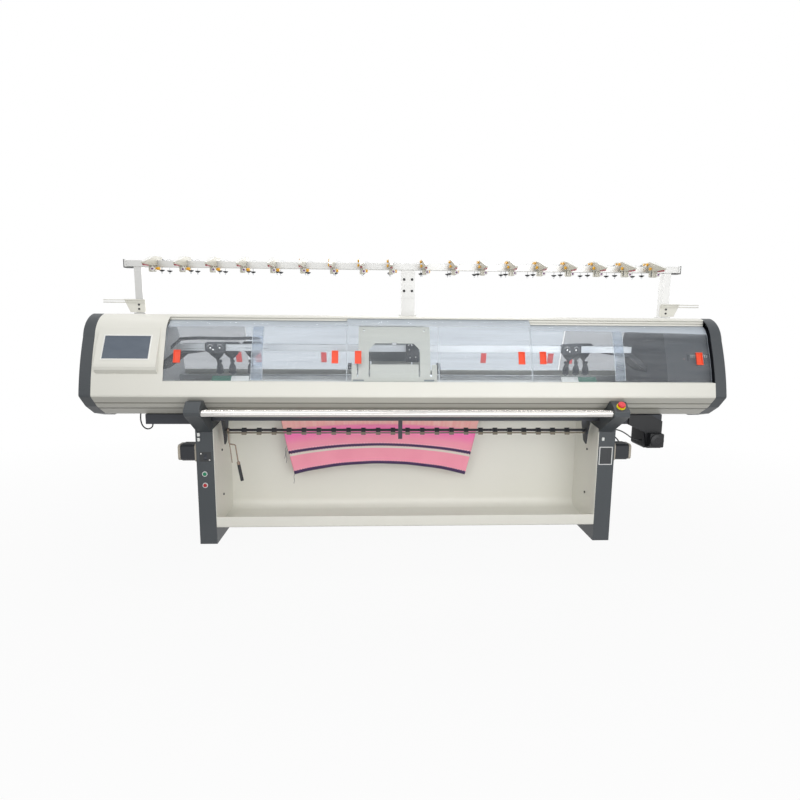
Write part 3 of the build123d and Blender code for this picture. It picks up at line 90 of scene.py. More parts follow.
class Wire:
    """One shader socket. Arithmetic on it adds Math nodes, and make() adds any other node."""
    __add__ = __radd__ = operator("ADD")
    __mul__ = __rmul__ = operator("MULTIPLY")
    __sub__, __rsub__ = operator("SUBTRACT"), operator("SUBTRACT", swapped=True)
    __truediv__, __mod__ = operator("DIVIDE"), operator("FLOORED_MODULO")
    __gt__, __lt__, __abs__ = operator("GREATER_THAN"), operator("LESS_THAN"), operator("ABSOLUTE")

    def __init__(self, tree, socket=None):
        self.tree, self.socket = tree, socket

    def make(self, kind, settings=None, out=0, **values):
        """Adds a node, sets it up, fills its sockets by name or by _number, and gives one output."""
        node = self.tree.nodes.new("ShaderNode" + kind)
        for name, value in (settings or {}).items():
            setattr(node, name, value)
        for name, value in values.items():
            plain = name.strip("_")
            socket = node.inputs[int(plain)] if plain.isdigit() else node.inputs[plain.replace("_", " ")]
            if isinstance(value, Wire):
                value.link(socket)
            else:
                socket.default_value = value
        return Wire(self.tree, node.outputs[out])

    def link(self, socket):
        self.tree.links.new(self.socket, socket)

    def cover(self):
        """Makes this the surface of its material."""
        self.link(self.tree.nodes["Material Output"].inputs["Surface"])

    def math(self, operation, first, second=0.0):
        return self.make("Math", {"operation": operation}, _0=first, _1=second)

    def clamped(self):
        """This, held between 0 and 1."""
        return self.math("MINIMUM", self.math("MAXIMUM", self, 0.0), 1.0)

    def mix(self, low, high):
        """The first where this is 0 and the second where it is 1: each a wire or a screen colour."""
        low, high = (end if isinstance(end, Wire) else linear(*end) for end in (low, high))
        return self.make("Mix", {"data_type": "RGBA"}, 2, _0=self, _6=low, _7=high)

    def place(self):
        """The point on the piece, in metres, as a vector and as its X, Y and Z."""
        point = self.make("TexCoord", out=3)
        parts = [self.make("SeparateXYZ", out=number, Vector=point) for number in range(3)]
        return (point, *parts)

    def noise(self, point, scale, detail=3.0):
        return self.make("TexNoise", Vector=point, Scale=scale, Detail=detail)

    def stretched(self, point, x=1.0, y=1.0, z=1.0):
        return self.make("Mapping", Vector=point, Scale=(x, y, z))

    def bump(self, height, distance):
        return self.make("Bump", Strength=0.6, Distance=distance, Height=height)


def blank(name):
    """A new material, its own shader and a wire in its node tree."""
    made = bpy.data.materials.new(name)
    made.use_nodes = True
    return made, made.node_tree.nodes["Principled BSDF"], Wire(made.node_tree)


def finish(name, paint, **constants):
    """A material: constants go on the shader's own sockets, and paint returns what varies."""
    made, shader, wire = blank(name)
    for socket, value in constants.items():
        shader.inputs[socket.replace("_", " ")].default_value = value
    for socket, varied in paint(wire).items():
        varied.link(shader.inputs[socket.replace("_", " ")])
    return made


def moulded(colour, shadow=0.82, grain=1400.0, gloss=0.42):
    """Moulded plastic or rubber: a fine spark-eroded grain, slightly darker and duller in patches."""
    def paint(wire):
        point = wire.place()[0]
        patch = wire.noise(point, 9.0)
        fine = wire.noise(point, grain, 1.0)
        return {"Base_Color": (patch * 0.7 + fine * 0.3).mix((*colour, shadow), colour),
                "Roughness": patch * 0.18 + fine * 0.08 + (gloss - 0.13),
                "Normal": wire.bump(fine, 0.0002)}
    return paint


cable_black = finish("cable_pvc", moulded((34, 35, 38), gloss=0.5))
cable_diameter = 0.008
cable_routes = {
    "motor_cable": (0.197, [(1.282, -0.167, 0.705), (1.314, -0.167, 0.705), (1.350, -0.171, 0.696),
                            (1.383, -0.179, 0.677), (1.411, -0.187, 0.655), (1.440, -0.190, 0.642),
                            (1.465, -0.190, 0.642)]),
    "stepper_cable": (0.150, [(1.282, -0.099, 0.655), (1.310, -0.099, 0.655), (1.340, -0.096, 0.646),
                              (1.364, -0.091, 0.628), (1.379, -0.093, 0.606), (1.384, -0.104, 0.590),
                              (1.384, -0.127, 0.590)]),
    "left_cable": (0.245, [(-1.655, -0.097, 0.850), (-1.655, -0.097, 0.822), (-1.659, -0.102, 0.785),
                           (-1.658, -0.109, 0.748), (-1.643, -0.120, 0.716), (-1.614, -0.132, 0.700),
                           (-1.586, -0.141, 0.706), (-1.568, -0.146, 0.724), (-1.568, -0.146, 0.750)])}
for cable_name, (cable_length, route) in cable_routes.items():
    line = bpy.data.curves.new(cable_name, "CURVE")
    line.dimensions = "3D"
    line.bevel_depth, line.bevel_resolution, line.resolution_u = cable_diameter / 2, 3, 10
    spline = line.splines.new("NURBS")
    spline.points.add(len(route) - 1)
    spline.points.foreach_set("co", np.c_[np.array(route), np.ones(len(route))].ravel())
    spline.order_u, spline.use_endpoint_u = 3, True
    cable = placed(cable_name, line)
    line.materials.append(cable_black)
    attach(cable, "root")
    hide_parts("cables")


# Studio: a white floor that runs out of sight, a white world, and area lamps that the camera doesn't see.
# The floor shows as plain white to the camera, and keeps a trace of the machine's shadow near it.
def looked_at(wire):
    """1 for a ray from the camera, also after a mirror or a clear sheet, and 0 for the room's light."""
    camera_ray, glossy_ray, through_ray = (wire.make("LightPath", out=number) for number in (0, 3, 6))
    return wire.math("MINIMUM", camera_ray + glossy_ray + through_ray, 1.0)


pure_white = (1.0, 1.0, 1.0, 1.0)
glow_near, glow_far = 0.94, 1.00
shadow_reach, fade_length = 1.2, 2.4
floor_paint, floor_shader, floor_wire = blank("studio_floor")
floor_shader.inputs["Base Color"].default_value = linear(150, 150, 148)
floor_shader.inputs["Roughness"].default_value = 0.9
glow = floor_wire.make("Emission", Color=pure_white, Strength=1.0)
across = floor_wire.stretched(floor_wire.make("TexCoord", out=3), x=0.7)
reach = floor_wire.make("VectorMath", {"operation": "LENGTH"}, 1, _0=across)
spread = ((reach - shadow_reach) / fade_length).clamped()
shown = looked_at(floor_wire) * (spread * (glow_far - glow_near) + glow_near)
dull = Wire(floor_wire.tree, floor_shader.outputs[0])
floor_wire.make("MixShader", _0=shown, _1=dull, _2=glow).cover()
floor_half = 30.0
floor_mesh = bpy.data.meshes.new("studio_floor")
floor_mesh.from_pydata([(-floor_half, -floor_half, 0.0), (floor_half, -floor_half, 0.0),
                        (floor_half, floor_half, 0.0), (-floor_half, floor_half, 0.0)], [], [(0, 1, 2, 3)])
floor_mesh.materials.append(floor_paint)
floor = placed("studio_floor", floor_mesh)

sky = bpy.data.worlds.new("studio_sky")
bpy.context.scene.world = sky
sky.use_nodes = True
sky_soft = 0.62
sky_strength = looked_at(Wire(sky.node_tree)) * (1.0 - sky_soft) + sky_soft
background = sky.node_tree.nodes["Background"]
background.inputs["Color"].default_value = pure_white
sky_strength.link(background.inputs["Strength"])

# Each lamp: where it stands, what it faces, its width and height, and its power in watts.
lamps = {"key": ((-1.8, -4.6, 4.2), (-0.2, 0.0, 0.9), (3.4, 3.4), 72.0),
         "fill": ((2.2, -4.8, 1.9), (0.2, 0.0, 0.8), (3.0, 3.0), 74.0),
         "strip": ((0.0, 0.34, 3.4), (0.0, -0.22, 1.36), (5.0, 0.12), 26.0),
         "low": ((0.0, -1.2, 0.62), (0.0, 0.0, 0.30), (2.6, 0.3), 4.2),
         "inner": ((0.0, -0.12, 1.30), (0.0, -0.03, 1.0), (2.75, 0.05), 2.6),
         "slot": ((0.0, -0.15, 0.748), (0.0, 0.033, 0.735), (2.3, 0.02), 1.05),
         "rear": ((0.8, 4.6, 3.0), (0.0, 0.0, 1.0), (3.4, 3.4), 110.0)}
for lamp_name, (lamp_place, target, lamp_size, power) in lamps.items():
    lamp_data = bpy.data.lights.new(lamp_name, "AREA")
    lamp_data.shape, lamp_data.energy = "RECTANGLE", power
    lamp_data.size, lamp_data.size_y = lamp_size
    lamp = placed(lamp_name, lamp_data)
    lamp.visible_camera = False
    back = np.array(lamp_place) - np.array(target)
    back /= np.linalg.norm(back)
    side = np.cross([0.0, 0.0, 1.0], back)
    side /= np.linalg.norm(side)
    lamp.matrix_world = posed(side, np.cross(back, side), back, lamp_place)
bpy.context.scene.view_settings.view_transform = "Standard"


# Legs, welded frame, end caps, shells and bin: folded and welded steel, powder coated in dark blue-grey
# or in cream. The coat has a fine orange peel, and gathers a little dust low down.
def powder_coat(colour, soil, gloss=0.42):
    """Powder coat: an orange peel of noise, slow patches of colour, and some dust near the floor."""
    dust_top = 0.25

    def paint(wire):
        point, _, _, height = wire.place()
        patch = wire.noise(point, 2.3)
        orange_peel = wire.noise(point, 260.0, 2.0)
        low = wire.math("MAXIMUM", dust_top - height, 0.0) * 1.6
        dust = wire.math("MINIMUM", low * wire.noise(point, 14.0) + patch * 0.22, 1.0)
        return {"Base_Color": dust.mix(colour, soil),
                "Roughness": patch * 0.16 + orange_peel * 0.10 + (gloss - 0.13),
                "Normal": wire.bump(orange_peel, 0.0004)}
    return paint


def dress(coat, *names):
    """Gives a finish to the CAD nodes of these names."""
    for name in names:
        mesh = nodes[name].data
        if not mesh.materials:
            mesh.materials.append(coat)
        for place in range(len(mesh.materials)):
            mesh.materials[place] = coat


def inside(values, spans):
    """1 where every value lies in its span of (low, high), and 0 elsewhere."""
    inner = 1.0
    for value, (low, high) in zip(values, spans):
        inner = (abs(value - (low + high) / 2) < (high - low) / 2) * inner
    return inner


dark_paint = powder_coat((62, 67, 71), (82, 85, 88))
cream_paint = powder_coat((227, 226, 218), (206, 204, 192), gloss=0.36)
frame_paint = powder_coat((44, 47, 54), (66, 68, 74), gloss=0.5)


def cabinet_coat(wire):
    """The frame's dark coat, with a light grey one on the left cabinet's walls inside the window."""
    point, along, _, height = wire.place()
    parts = frame_paint(wire)
    wall_end, wall_foot = -1.2, 0.93
    light = (along < wall_end) * (height > wall_foot)
    grey = wire.noise(point, 4.0).mix((230, 231, 233), (243, 244, 245))
    parts["Base_Color"] = light.mix(parts["Base_Color"], grey)
    return parts


def shell_coat(wire):
    """The cream coat of a shell, with painted shade greying the belly below the nose, and darker in its
    two grooves.
    """
    height = wire.place()[3]
    nose_height, grooves = 0.938, ((0.8585, 0.8655), (0.8945, 0.9015))
    parts = cream_paint(wire)
    shaded_belly = height < nose_height
    groove = sum(inside((height,), (span,)) for span in grooves)
    # Painted shade: the belly below the nose is greyed because less light reaches it; the two grooves are
    # painted darker.
    parts["Base_Color"] = (shaded_belly * 0.34 + groove * 0.5).mix(parts["Base_Color"], (120, 117, 106))
    return parts


dress(finish("dark_powder_coat", dark_paint), "left_leg", "right_leg", "left_end_cap", "right_end_cap",
      "left_bar_bracket", "right_bar_bracket")
dress(finish("frame_paint", frame_paint), "rail_arms", "roller_brackets")
dress(finish("cabinet_paint", cabinet_coat), "main_frame")
dress(finish("shell_coat", shell_coat), "front_shell", "rear_shell")
dress(finish("cream_powder_coat", cream_paint), "cloth_bin", "top_beam", "left_fascia", "panel_bezel",
      "guide_brackets", "carriage_covers")


# Needle beds and carriage rails: ground tool steel, with a trick every few millimetres along the
# beds. The guide rails, feeder rails and rods are drawn or ground bar with a faint lengthwise grain.
def drawn_metal(colour, rough, along=(4.0, 160.0, 160.0), stain=0.8):
    """Drawn or ground metal: noise stretched along the bar for its grain, and slow stains."""
    def paint(wire):
        point = wire.place()[0]
        grain = wire.noise(wire.stretched(point, *along), 1.0, 4.0)
        patch = wire.noise(point, 5.0)
        return {"Base_Color": (grain * 0.5 + patch * 0.5).mix((*colour, stain), colour),
                "Roughness": grain * 0.16 + patch * 0.10 + (rough - 0.13),
                "Normal": wire.bump(grain, 0.0001)}
    return paint


needle_pitch = 0.0042
tricks_end, green_start = 1.016, 1.128


def trick_steel(wire):
    """Bed steel: dark tricks between ground lands, as a saw of X, and green guards at both ends."""
    point, along, _, _ = wire.place()
    land = abs((along / needle_pitch) % 1.0 - 0.5) * 2.0
    trick = (land < 0.42) * (abs(along) < tricks_end)
    patch = wire.noise(point, 6.0)
    ground = patch.mix((226, 229, 230), (244, 246, 245))
    green = patch.mix((18, 92, 74), (34, 118, 96))
    colour = (abs(along) > green_start).mix(trick.mix(ground, (132, 136, 140)), green)
    return {"Base_Color": colour, "Roughness": patch * 0.2 + 0.22 + trick * 0.2,
            "Normal": wire.bump(1.0 - trick, 0.0008)}


dress(finish("bed_steel", trick_steel, Metallic=0.15), "front_needle_bed", "rear_needle_bed")
for metal_name, metallic, metal, dressed in (
        ("ground_steel", 1.0, drawn_metal((186, 188, 190), 0.30),
         ("guide_rails", "carriage_base", "drive_pulley", "idle_pulley")),
        ("bright_rail", 0.5, drawn_metal((206, 210, 216), 0.30), ("feeder_rails",)),
        ("polished_tube", 1.0, drawn_metal((208, 205, 202), 0.20, (0.6, 260.0, 260.0), 0.90),
         ("touch_bar",)),
        ("anodised_profile", 0.85, drawn_metal((204, 204, 202), 0.38, (120.0, 120.0, 4.0), 0.9),
         ("yarn_rail", "rail_posts"))):
    dress(finish(metal_name, metal, Metallic=metallic), *dressed)


# Control panel: a moulded cream housing with a touch screen behind a thin white frame. The frame is
# a light plastic moulding clipped round the glass.
def ringed(rings, closed=False):
    """A shape from rings of points (ring, point, xyz): quads between the rings, and either a cap at each
    end or, where it is closed, quads from the last ring to the first."""
    count, around = rings.shape[:2]
    row, column = np.arange(count if closed else count - 1)[:, None], np.arange(around)
    after, beside = (row + 1) % count * around, (column + 1) % around
    sides = np.stack([row * around + column, row * around + beside, after + beside, after + column], -1)
    caps = np.stack([column[::-1], (count - 1) * around + column])
    return rings.reshape(-1, 3), [sides.reshape(-1, 4)] + ([] if closed else [caps])


def piece(name, parts, body="root", replaces=()):
    """One mesh object from (shape, coat) pairs, where a shape is its points and its groups of faces."""
    points, faces, coats, which, offset = [], [], [], [], 0
    for (shape_points, groups), coat in parts:
        if coat not in coats:
            coats.append(coat)
        points.append(shape_points)
        for group in groups:
            faces += (group + offset).tolist()
            which += [coats.index(coat)] * len(group)
        offset += len(shape_points)
    mesh = bpy.data.meshes.new(name)
    mesh.from_pydata(np.concatenate(points).tolist(), [], faces)
    for coat in coats:
        mesh.materials.append(coat)
    mesh.polygons.foreach_set("material_index", which)
    shaped = bmesh.new()
    shaped.from_mesh(mesh)
    bmesh.ops.recalc_face_normals(shaped, faces=shaped.faces)
    shaped.to_mesh(mesh)
    shaped.free()
    mesh.shade_smooth()
    mesh.set_sharp_from_angle(angle=math.radians(38))
    made = placed(name, mesh)
    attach(made, body)
    if replaces:
        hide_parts(*replaces)
    return made


def dotted_glass(wire):
    """Screen glass: blue-grey, with a fine dot pattern of the panel behind it and faint smears."""
    dot_pitch = 0.006
    point, along, _, height = wire.place()
    column, row = (abs((value / dot_pitch) % 1.0 - 0.5) < 0.2 for value in (along, height))
    smear = wire.noise(wire.stretched(point, 8.0, 8.0, 20.0), 1.0, 4.0)
    colour = (column * row * 0.35 + smear * 0.4).mix((78, 88, 101), (118, 128, 140))
    return {"Base_Color": colour, "Roughness": smear * 0.2 + 0.12, "Normal": wire.bump(smear, 0.0001)}


dress(finish("screen_glass", dotted_glass), "touch_screen")
white_moulding = finish("white_moulding", moulded((240, 240, 236), 0.93, gloss=0.36))
face_top, face_foot = np.array([-0.285, 1.324]), np.array([-0.391, 1.122])
face_down = (face_foot - face_top) / np.linalg.norm(face_foot - face_top)
face_out = np.array([face_down[1], -face_down[0]])
screen_x, screen_middle = -1.608, face_top + 0.545 * (face_foot - face_top)
half_wide, half_high = 0.1275, 0.071
# The frame's own section: how far outside the glass and how proud of it, point by point.
frame_section = ((0.0, -0.001), (0.0, 0.0022), (0.0055, 0.0022), (0.0075, 0.0004), (0.0075, -0.001))
rings = []
for way_x, way_down in ((-1, -1), (1, -1), (1, 1), (-1, 1)):
    ring = []
    for wider, proud in frame_section:
        y, z = screen_middle + way_down * (half_high + wider) * face_down + proud * face_out
        ring.append((screen_x + way_x * (half_wide + wider), y, z))
    rings.append(ring)
piece("screen_frame", [(ringed(np.array(rings), closed=True), white_moulding)])


# Sliding covers: three bent clear sheets a side with orange finger grips. A stiffening strip with pale
# polished edges is bonded inside two of the front sheets.
def clear_sheet(name, tint, veil, grip_places=()):
    """Clear plastic: a tinted see-through layer under gloss, with ripples, scuffs and opaque grips."""
    grip_height, grip_half_wide, grip_half_high = 1.112, 0.0194, 0.0365
    made, gloss, wire = blank(name)
    point, along, _, height = wire.place()
    gloss.inputs["Roughness"].default_value = 0.07
    ripple = wire.noise(wire.stretched(point, 3.0, 1.0, 9.0), 1.0, 2.0)
    scuff = wire.noise(wire.stretched(point, 2.0, 2.0, 40.0), 1.0, 5.0)
    scuff.mix((214, 222, 232), (240, 243, 246)).link(gloss.inputs["Base Color"])
    wire.bump(ripple, 0.03).link(gloss.inputs["Normal"])
    through = wire.make("BsdfTransparent", Color=linear(*tint))
    mirror = wire.make("Fresnel", IOR=1.45)
    share = wire.math("MINIMUM", mirror * 0.9 + scuff * veil, 1.0)
    shown = wire.make("MixShader", _0=share, _1=through, _2=Wire(wire.tree, gloss.outputs[0]))
    if grip_places:
        mask = 0.0
        for grip_x in grip_places:
            mask = (abs(along - grip_x) < grip_half_wide) + mask
        mask = mask * (abs(height - grip_height) < grip_half_high)
        solid = wire.make("BsdfPrincipled", Base_Color=linear(244, 110, 110), Roughness=0.4)
        lit_through = wire.make("BsdfTranslucent", Color=linear(255, 150, 150))
        grip = wire.make("MixShader", _0=0.6, _1=solid, _2=lit_through)
        shown = wire.make("MixShader", _0=mask, _1=shown, _2=grip)
    shown.cover()
    return made


orange_grip = finish("orange_grip", moulded((252, 80, 38), 0.86, gloss=0.36))
dress(orange_grip, "front_handles_left", "front_handles_middle", "front_handles_right")
dress(clear_sheet("front_clear_sheet", (252, 253, 253), 0.10),
      "front_cover_left", "front_cover_middle", "front_cover_right")
cool_tint, grey_tint = (243, 246, 250), (226, 227, 229)
for side_name, tint, grips in (("left", grey_tint, (-1.172,)), ("right", grey_tint, (1.200,)),
                               ("middle", cool_tint, (-1.038, -0.575, 0.575, 1.066))):
    dress(clear_sheet(f"rear_{side_name}_sheet", tint, 0.25, grips), f"rear_cover_{side_name}")


def bar(axis, outline, start, stop, chamfer=0.0):
    """An outline in the plane across an axis, carried along it, with a small chamfer round both ends."""
    outline = np.array(outline, float)
    steps, flats = [start, stop], [outline, outline]
    if chamfer:
        middle = (outline.min(0) + outline.max(0)) / 2
        shrunk = middle + (outline - middle) * (1 - chamfer / np.abs(outline - middle).max(0))
        inward = chamfer * np.sign(stop - start)
        steps, flats = [start, start + inward, stop - inward, stop], [shrunk, outline, outline, shrunk]
    across = "xyz".index(axis)
    return ringed(np.array([np.insert(flat, across, step, axis=1) for flat, step in zip(flats, steps)]))


# Points of the head's section, from the front shell's nose up to the top, that its two arcs run through.
nose, cheek, brow, forehead, crown = np.array(
    [(-0.397, 0.940), (-0.359, 1.108), (-0.301, 1.270), (-0.254, 1.357), (-0.172, 1.402)])


def head_arc(inset, low, high, steps=30):
    """Points of the head's section at an inset, between two heights: two arcs of a circle each."""
    arcs = []
    for (a, b, c), top in (((nose, cheek, brow), brow[1]), ((brow, forehead, crown), crown[1] - inset)):
        middle = np.linalg.solve(2 * np.array([b - a, c - a]), [b @ b - a @ a, c @ c - a @ a])
        reach = np.linalg.norm(a - middle) - inset
        heights = np.linspace(a[1], top, 200)
        rise = heights - middle[1]
        near = np.abs(rise) < reach
        arcs.append(np.c_[middle[0] - np.sqrt(reach ** 2 - rise[near] ** 2), heights[near]])
    path = np.concatenate(arcs)
    path = path[(path[:, 1] >= low) & (path[:, 1] <= high)]
    return path[np.linspace(0, len(path) - 1, steps).astype(int)]


cover_foot, cover_head = 1.030, 1.345
cover_insets = {"left": 0.019, "middle": 0.006, "right": 0.032}
strip_inset = 0.0045


def bent(inset, start, stop, thickness=0.002, span=(cover_foot, cover_head), steps=30, chamfer=0.0):
    """A strip from start to stop along X that follows the head's section between two heights."""
    outer, inner = (head_arc(depth, *span, steps) for depth in (inset, inset + thickness))
    return bar("x", np.concatenate([outer, inner[::-1]]), start, stop, chamfer)


strip_coat = clear_sheet("strip_sheet", (234, 239, 246), 0.55)
edge_coat = finish("sheet_edge", moulded((238, 242, 246), 0.94, gloss=0.25))
for side_name, strip_x in (("left", (-0.918, -0.854)), ("right", (1.219, 1.278))):
    inset = cover_insets[side_name] + strip_inset
    parts = [(bent(inset, *strip_x), strip_coat)]
    for edge_x in strip_x:
        parts.append((bent(inset, edge_x - 0.0015, edge_x + 0.0015), edge_coat))
    piece(f"stiffening_strip_{side_name}", parts, f"front_door_{side_name}")


# Knitted cloth: a plain-knit panel in dusty pink with a navy and cream stripe and a navy hem, hanging
# from the needle gap. Its courses bow upwards in the middle, and the wales run down it.
def knitted(wire):
    """Knit from the cloth's UV in metres: stitches of 3.2 by 2.4 mm, zig-zag stripes, and a paler,
    streaked top above the rollers that is painted light.
    """
    wale_wide, course_high, zigzag_wide, eyelet_step = 0.0032, 0.0024, 0.020, 0.024
    lit_top_end, lit_top_fade, vivid_at, vivid_half = 0.336, 0.014, 0.368, 0.062
    navy, cream, hem_top, picots = (0.463, 0.481), (0.482, 0.499), 0.589, (0.463, 0.592)
    uv = wire.make("UVMap")
    across, down = (wire.make("SeparateXYZ", out=number, Vector=uv) for number in (0, 1))
    wale = abs((across / wale_wide) % 1.0 - 0.5)
    course = ((down / course_high) + wale * 1.3) % 1.0
    stitch = abs(course - 0.5) * 2.0 * wire.math("MINIMUM", wale * 5.0, 1.0)
    streak = wire.noise(wire.stretched(uv, 55.0, 1.2), 1.0)
    zigzag = abs((across / zigzag_wide) % 1.0 - 0.5) * 0.010
    pink = wire.noise(uv, 6.0).mix((244, 150, 172), (252, 166, 184))
    pink = (1.0 - abs(down - vivid_at) / vivid_half).clamped().mix(pink, (255, 126, 190))
    # Painted light: the cloth above the rollers is painted paler, with streaks, for the light falling on
    # it from above.
    pale = streak.mix((246, 158, 156), (255, 214, 206))
    pink = ((lit_top_end - down) / lit_top_fade).clamped().mix(pink, pale)
    eyelet = abs((across / eyelet_step) % 1.0 - 0.5) < 0.30
    eyelets = eyelet * sum(abs(down - picot) < 0.0025 for picot in picots)
    pink = eyelets.mix(pink, (252, 196, 206))
    navy_band = (down > zigzag + navy[0]) * (down < zigzag + navy[1])
    cream_band = (down > zigzag + cream[0]) * (down < cream[1])
    hem_band = down > zigzag + hem_top
    colour = cream_band.mix(pink, (222, 214, 202))
    colour = wire.math("MINIMUM", navy_band + hem_band, 1.0).mix(colour, (58, 44, 84))
    shaded = (stitch * 0.16).mix(colour, (120, 60, 84))
    return {"Base_Color": shaded, "Roughness": stitch * 0.1 + 0.84,
            "Normal": wire.bump(1.0 - stitch, 0.0006)}


cloth_coat = finish("plain_knit", knitted, Sheen_Weight=0.25)
cloth_columns, cloth_rows = 180, 110
pattern_wide, pattern_long, cloth_top = 1.305, 0.612, 1.012
share_across = np.linspace(0.0, 1.0, cloth_columns)[None, :]
share_down = np.linspace(0.0, 1.0, cloth_rows)[:, None]
# Both side edges as (x, z) from the needles down to the hem's corners, and the hem's bow between them.
left_line, right_line = np.array([
    [(-0.822, cloth_top), (-0.822, 0.733), (-0.804, 0.640), (-0.777, 0.512), (-0.738, 0.362)],
    [(0.483, cloth_top), (0.483, 0.734), (0.461, 0.639), (0.428, 0.489), (0.395, 0.358)]])
bow_middle, bow_half, bow_rise = -0.174, 0.5665, 0.072
hem_x = left_line[-1, 0] + share_across * (right_line[-1, 0] - left_line[-1, 0])
bow = 1.0 - ((hem_x - bow_middle) / bow_half) ** 2
hem_z = np.interp(hem_x, *np.stack([left_line[-1], right_line[-1]], -1)) + bow * bow_rise
cloth_z = cloth_top - share_down * (cloth_top - hem_z)
edge_left, edge_right = (np.interp(-cloth_z, -line[:, 1], line[:, 0]) for line in (left_line, right_line))
cloth_x = edge_left + share_across * (edge_right - edge_left)
# The free part below the rollers hangs in soft folds, within 9 mm, and its hem curls a little forward.
free_top, free_length = 0.76, 0.40
hang = np.clip((free_top - cloth_z) / free_length, 0.0, 1.0) ** 1.4
wave = (0.45 * np.sin(share_across * 19.0 + 0.6) * share_across ** 2
        + 0.30 * np.sin(share_across * 33.0 + share_down * 2.0) + 0.35 * np.sin(share_across * 7.3 + 1.0))
cloth_y = 0.033 - 0.009 * hang * wave - 0.004 * hang * np.exp(-((share_down - 0.98) / 0.03) ** 2)
cloth_points = np.stack([cloth_x, cloth_y, cloth_z], -1)
corners = (np.arange(cloth_rows - 1)[:, None] * cloth_columns + np.arange(cloth_columns - 1)).ravel()
cloth_faces = np.stack([corners, corners + cloth_columns, corners + cloth_columns + 1, corners + 1], -1)
cloth_mesh = bpy.data.meshes.new("knitted_panel")
cloth_mesh.from_pydata(cloth_points.reshape(-1, 3).tolist(), [], cloth_faces.tolist())
cloth_uv = np.stack(np.broadcast_arrays(share_across * pattern_wide, share_down * pattern_long), -1)
loops = np.empty(len(cloth_mesh.loops), int)
cloth_mesh.loops.foreach_get("vertex_index", loops)
cloth_mesh.uv_layers.new(name="UVMap").data.foreach_set("uv", cloth_uv.reshape(-1, 2)[loops].ravel())
cloth_mesh.shade_smooth()
cloth_mesh.materials.append(cloth_coat)
cloth = placed("knitted_panel", cloth_mesh)
wall = cloth.modifiers.new("wall", "SOLIDIFY")
wall.thickness, wall.offset = 0.0018, 0.0
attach(cloth, "root")
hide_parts("knit_fabric")


def rod(path, radius, across, around=8):
    """A round rod along a path; across is a direction that the path never points in."""
    path = np.array(path, float)
    ahead = np.gradient(path, axis=0)
    ahead /= np.linalg.norm(ahead, axis=1, keepdims=True)
    side = np.cross(ahead, across)
    side /= np.linalg.norm(side, axis=1, keepdims=True)
    other = np.cross(ahead, side)
    angle = np.linspace(0.0, 2 * np.pi, around, endpoint=False)[None, :, None]
    spoke = np.cos(angle) * side[:, None] + np.sin(angle) * other[:, None]
    reach = np.broadcast_to(np.array(radius, float), len(path))[:, None, None]
    return ringed(path[:, None] + reach * spoke)


def eased(points, steps=6):
    """A smooth path through points: a Catmull-Rom curve with this many steps between each two."""
    points = np.array(points, float)
    ends = np.concatenate([2 * points[:1] - points[1:2], points, 2 * points[-1:] - points[-2:-1]])
    share = np.linspace(0.0, 1.0, steps, endpoint=False)[None, :, None]
    a, b, c, d = (ends[step:step + len(points) - 1, None] for step in range(4))
    path = 0.5 * (2 * b + (c - a) * share + (2 * a - 5 * b + 4 * c - d) * share ** 2
                  + (3 * b - a - 3 * c + d) * share ** 3)
    return np.concatenate([path.reshape(-1, points.shape[1]), points[-1:]])


tail_yarn = finish("tail_yarn", moulded((66, 58, 78), gloss=0.85))
tail_paths = (
    [(-0.786, 0.032, 0.552), (-0.797, 0.030, 0.530), (-0.795, 0.028, 0.500), (-0.803, 0.028, 0.470)],
    [(-0.782, 0.032, 0.530), (-0.793, 0.029, 0.505), (-0.788, 0.028, 0.470), (-0.792, 0.029, 0.440)],
    [(-0.738, 0.032, 0.372), (-0.744, 0.030, 0.345), (-0.741, 0.029, 0.318), (-0.746, 0.030, 0.300)])
tail_rods = [(rod(eased(path), 0.0011, (0, 1, 0), 6), tail_yarn) for path in tail_paths]
tails = piece("yarn_tails", tail_rods)


# Feeders, belt and rollers: moulded black carriers that slide on the feeder rails, a toothed rubber belt
# and rubber take-down rollers. Each carrier has chromed spring hooks, silver screws, and a flat moulded
# yarn guide on its arm.
black_plastic = finish("black_plastic", moulded((44, 48, 56), 0.8, gloss=0.42))
black_rubber = finish("black_rubber", moulded((36, 37, 40), 0.86, gloss=0.7))
dress(black_plastic, "feeder_1", "feeder_2", "feeder_3", "feeder_4", "feeder_5", "feeder_6")
dress(black_rubber, "drive_belt", "front_roller", "rear_roller")


def turned(profile, centre, direction, around=20):
    """A profile of (distance along, radius) pairs turned about an axis through a point."""
    direction = np.array(direction, float) / np.linalg.norm(direction)
    side = np.cross(direction, (0.0, 0.0, 1.0) if abs(direction[2]) < 0.9 else (1.0, 0.0, 0.0))
    side /= np.linalg.norm(side)
    other = np.cross(direction, side)
    angle = np.linspace(0.0, 2 * np.pi, around, endpoint=False)[:, None]
    spoke = np.cos(angle) * side + np.sin(angle) * other
    profile = np.array(profile, float)
    return ringed(np.array(centre) + profile[:, :1, None] * direction + profile[:, 1:, None] * spoke)


def copies(shape, offsets):
    """The same shape at several offsets, as one shape."""
    points, groups = shape
    offsets = np.array(offsets, float).reshape(-1, 1, 3)
    starts = np.arange(len(offsets)).reshape(-1, 1, 1) * len(points)
    copied = [(group + starts).reshape(-1, group.shape[1]) for group in groups]
    return (points + offsets).reshape(-1, 3), copied


chrome = finish("chromed_steel", drawn_metal((214, 216, 218), 0.2), Metallic=1.0)
carrier_screw = [(0.0, 0.0060), (0.0020, 0.0060), (0.0034, 0.0040), (0.0036, 0.0006)]
flat_half, flat_chamfer = 0.0015, 0.0004
arc_angle = np.linspace(0.15, np.pi - 0.15, 12)
egg_turn = np.linspace(0.0, 2 * np.pi, 28, endpoint=False)
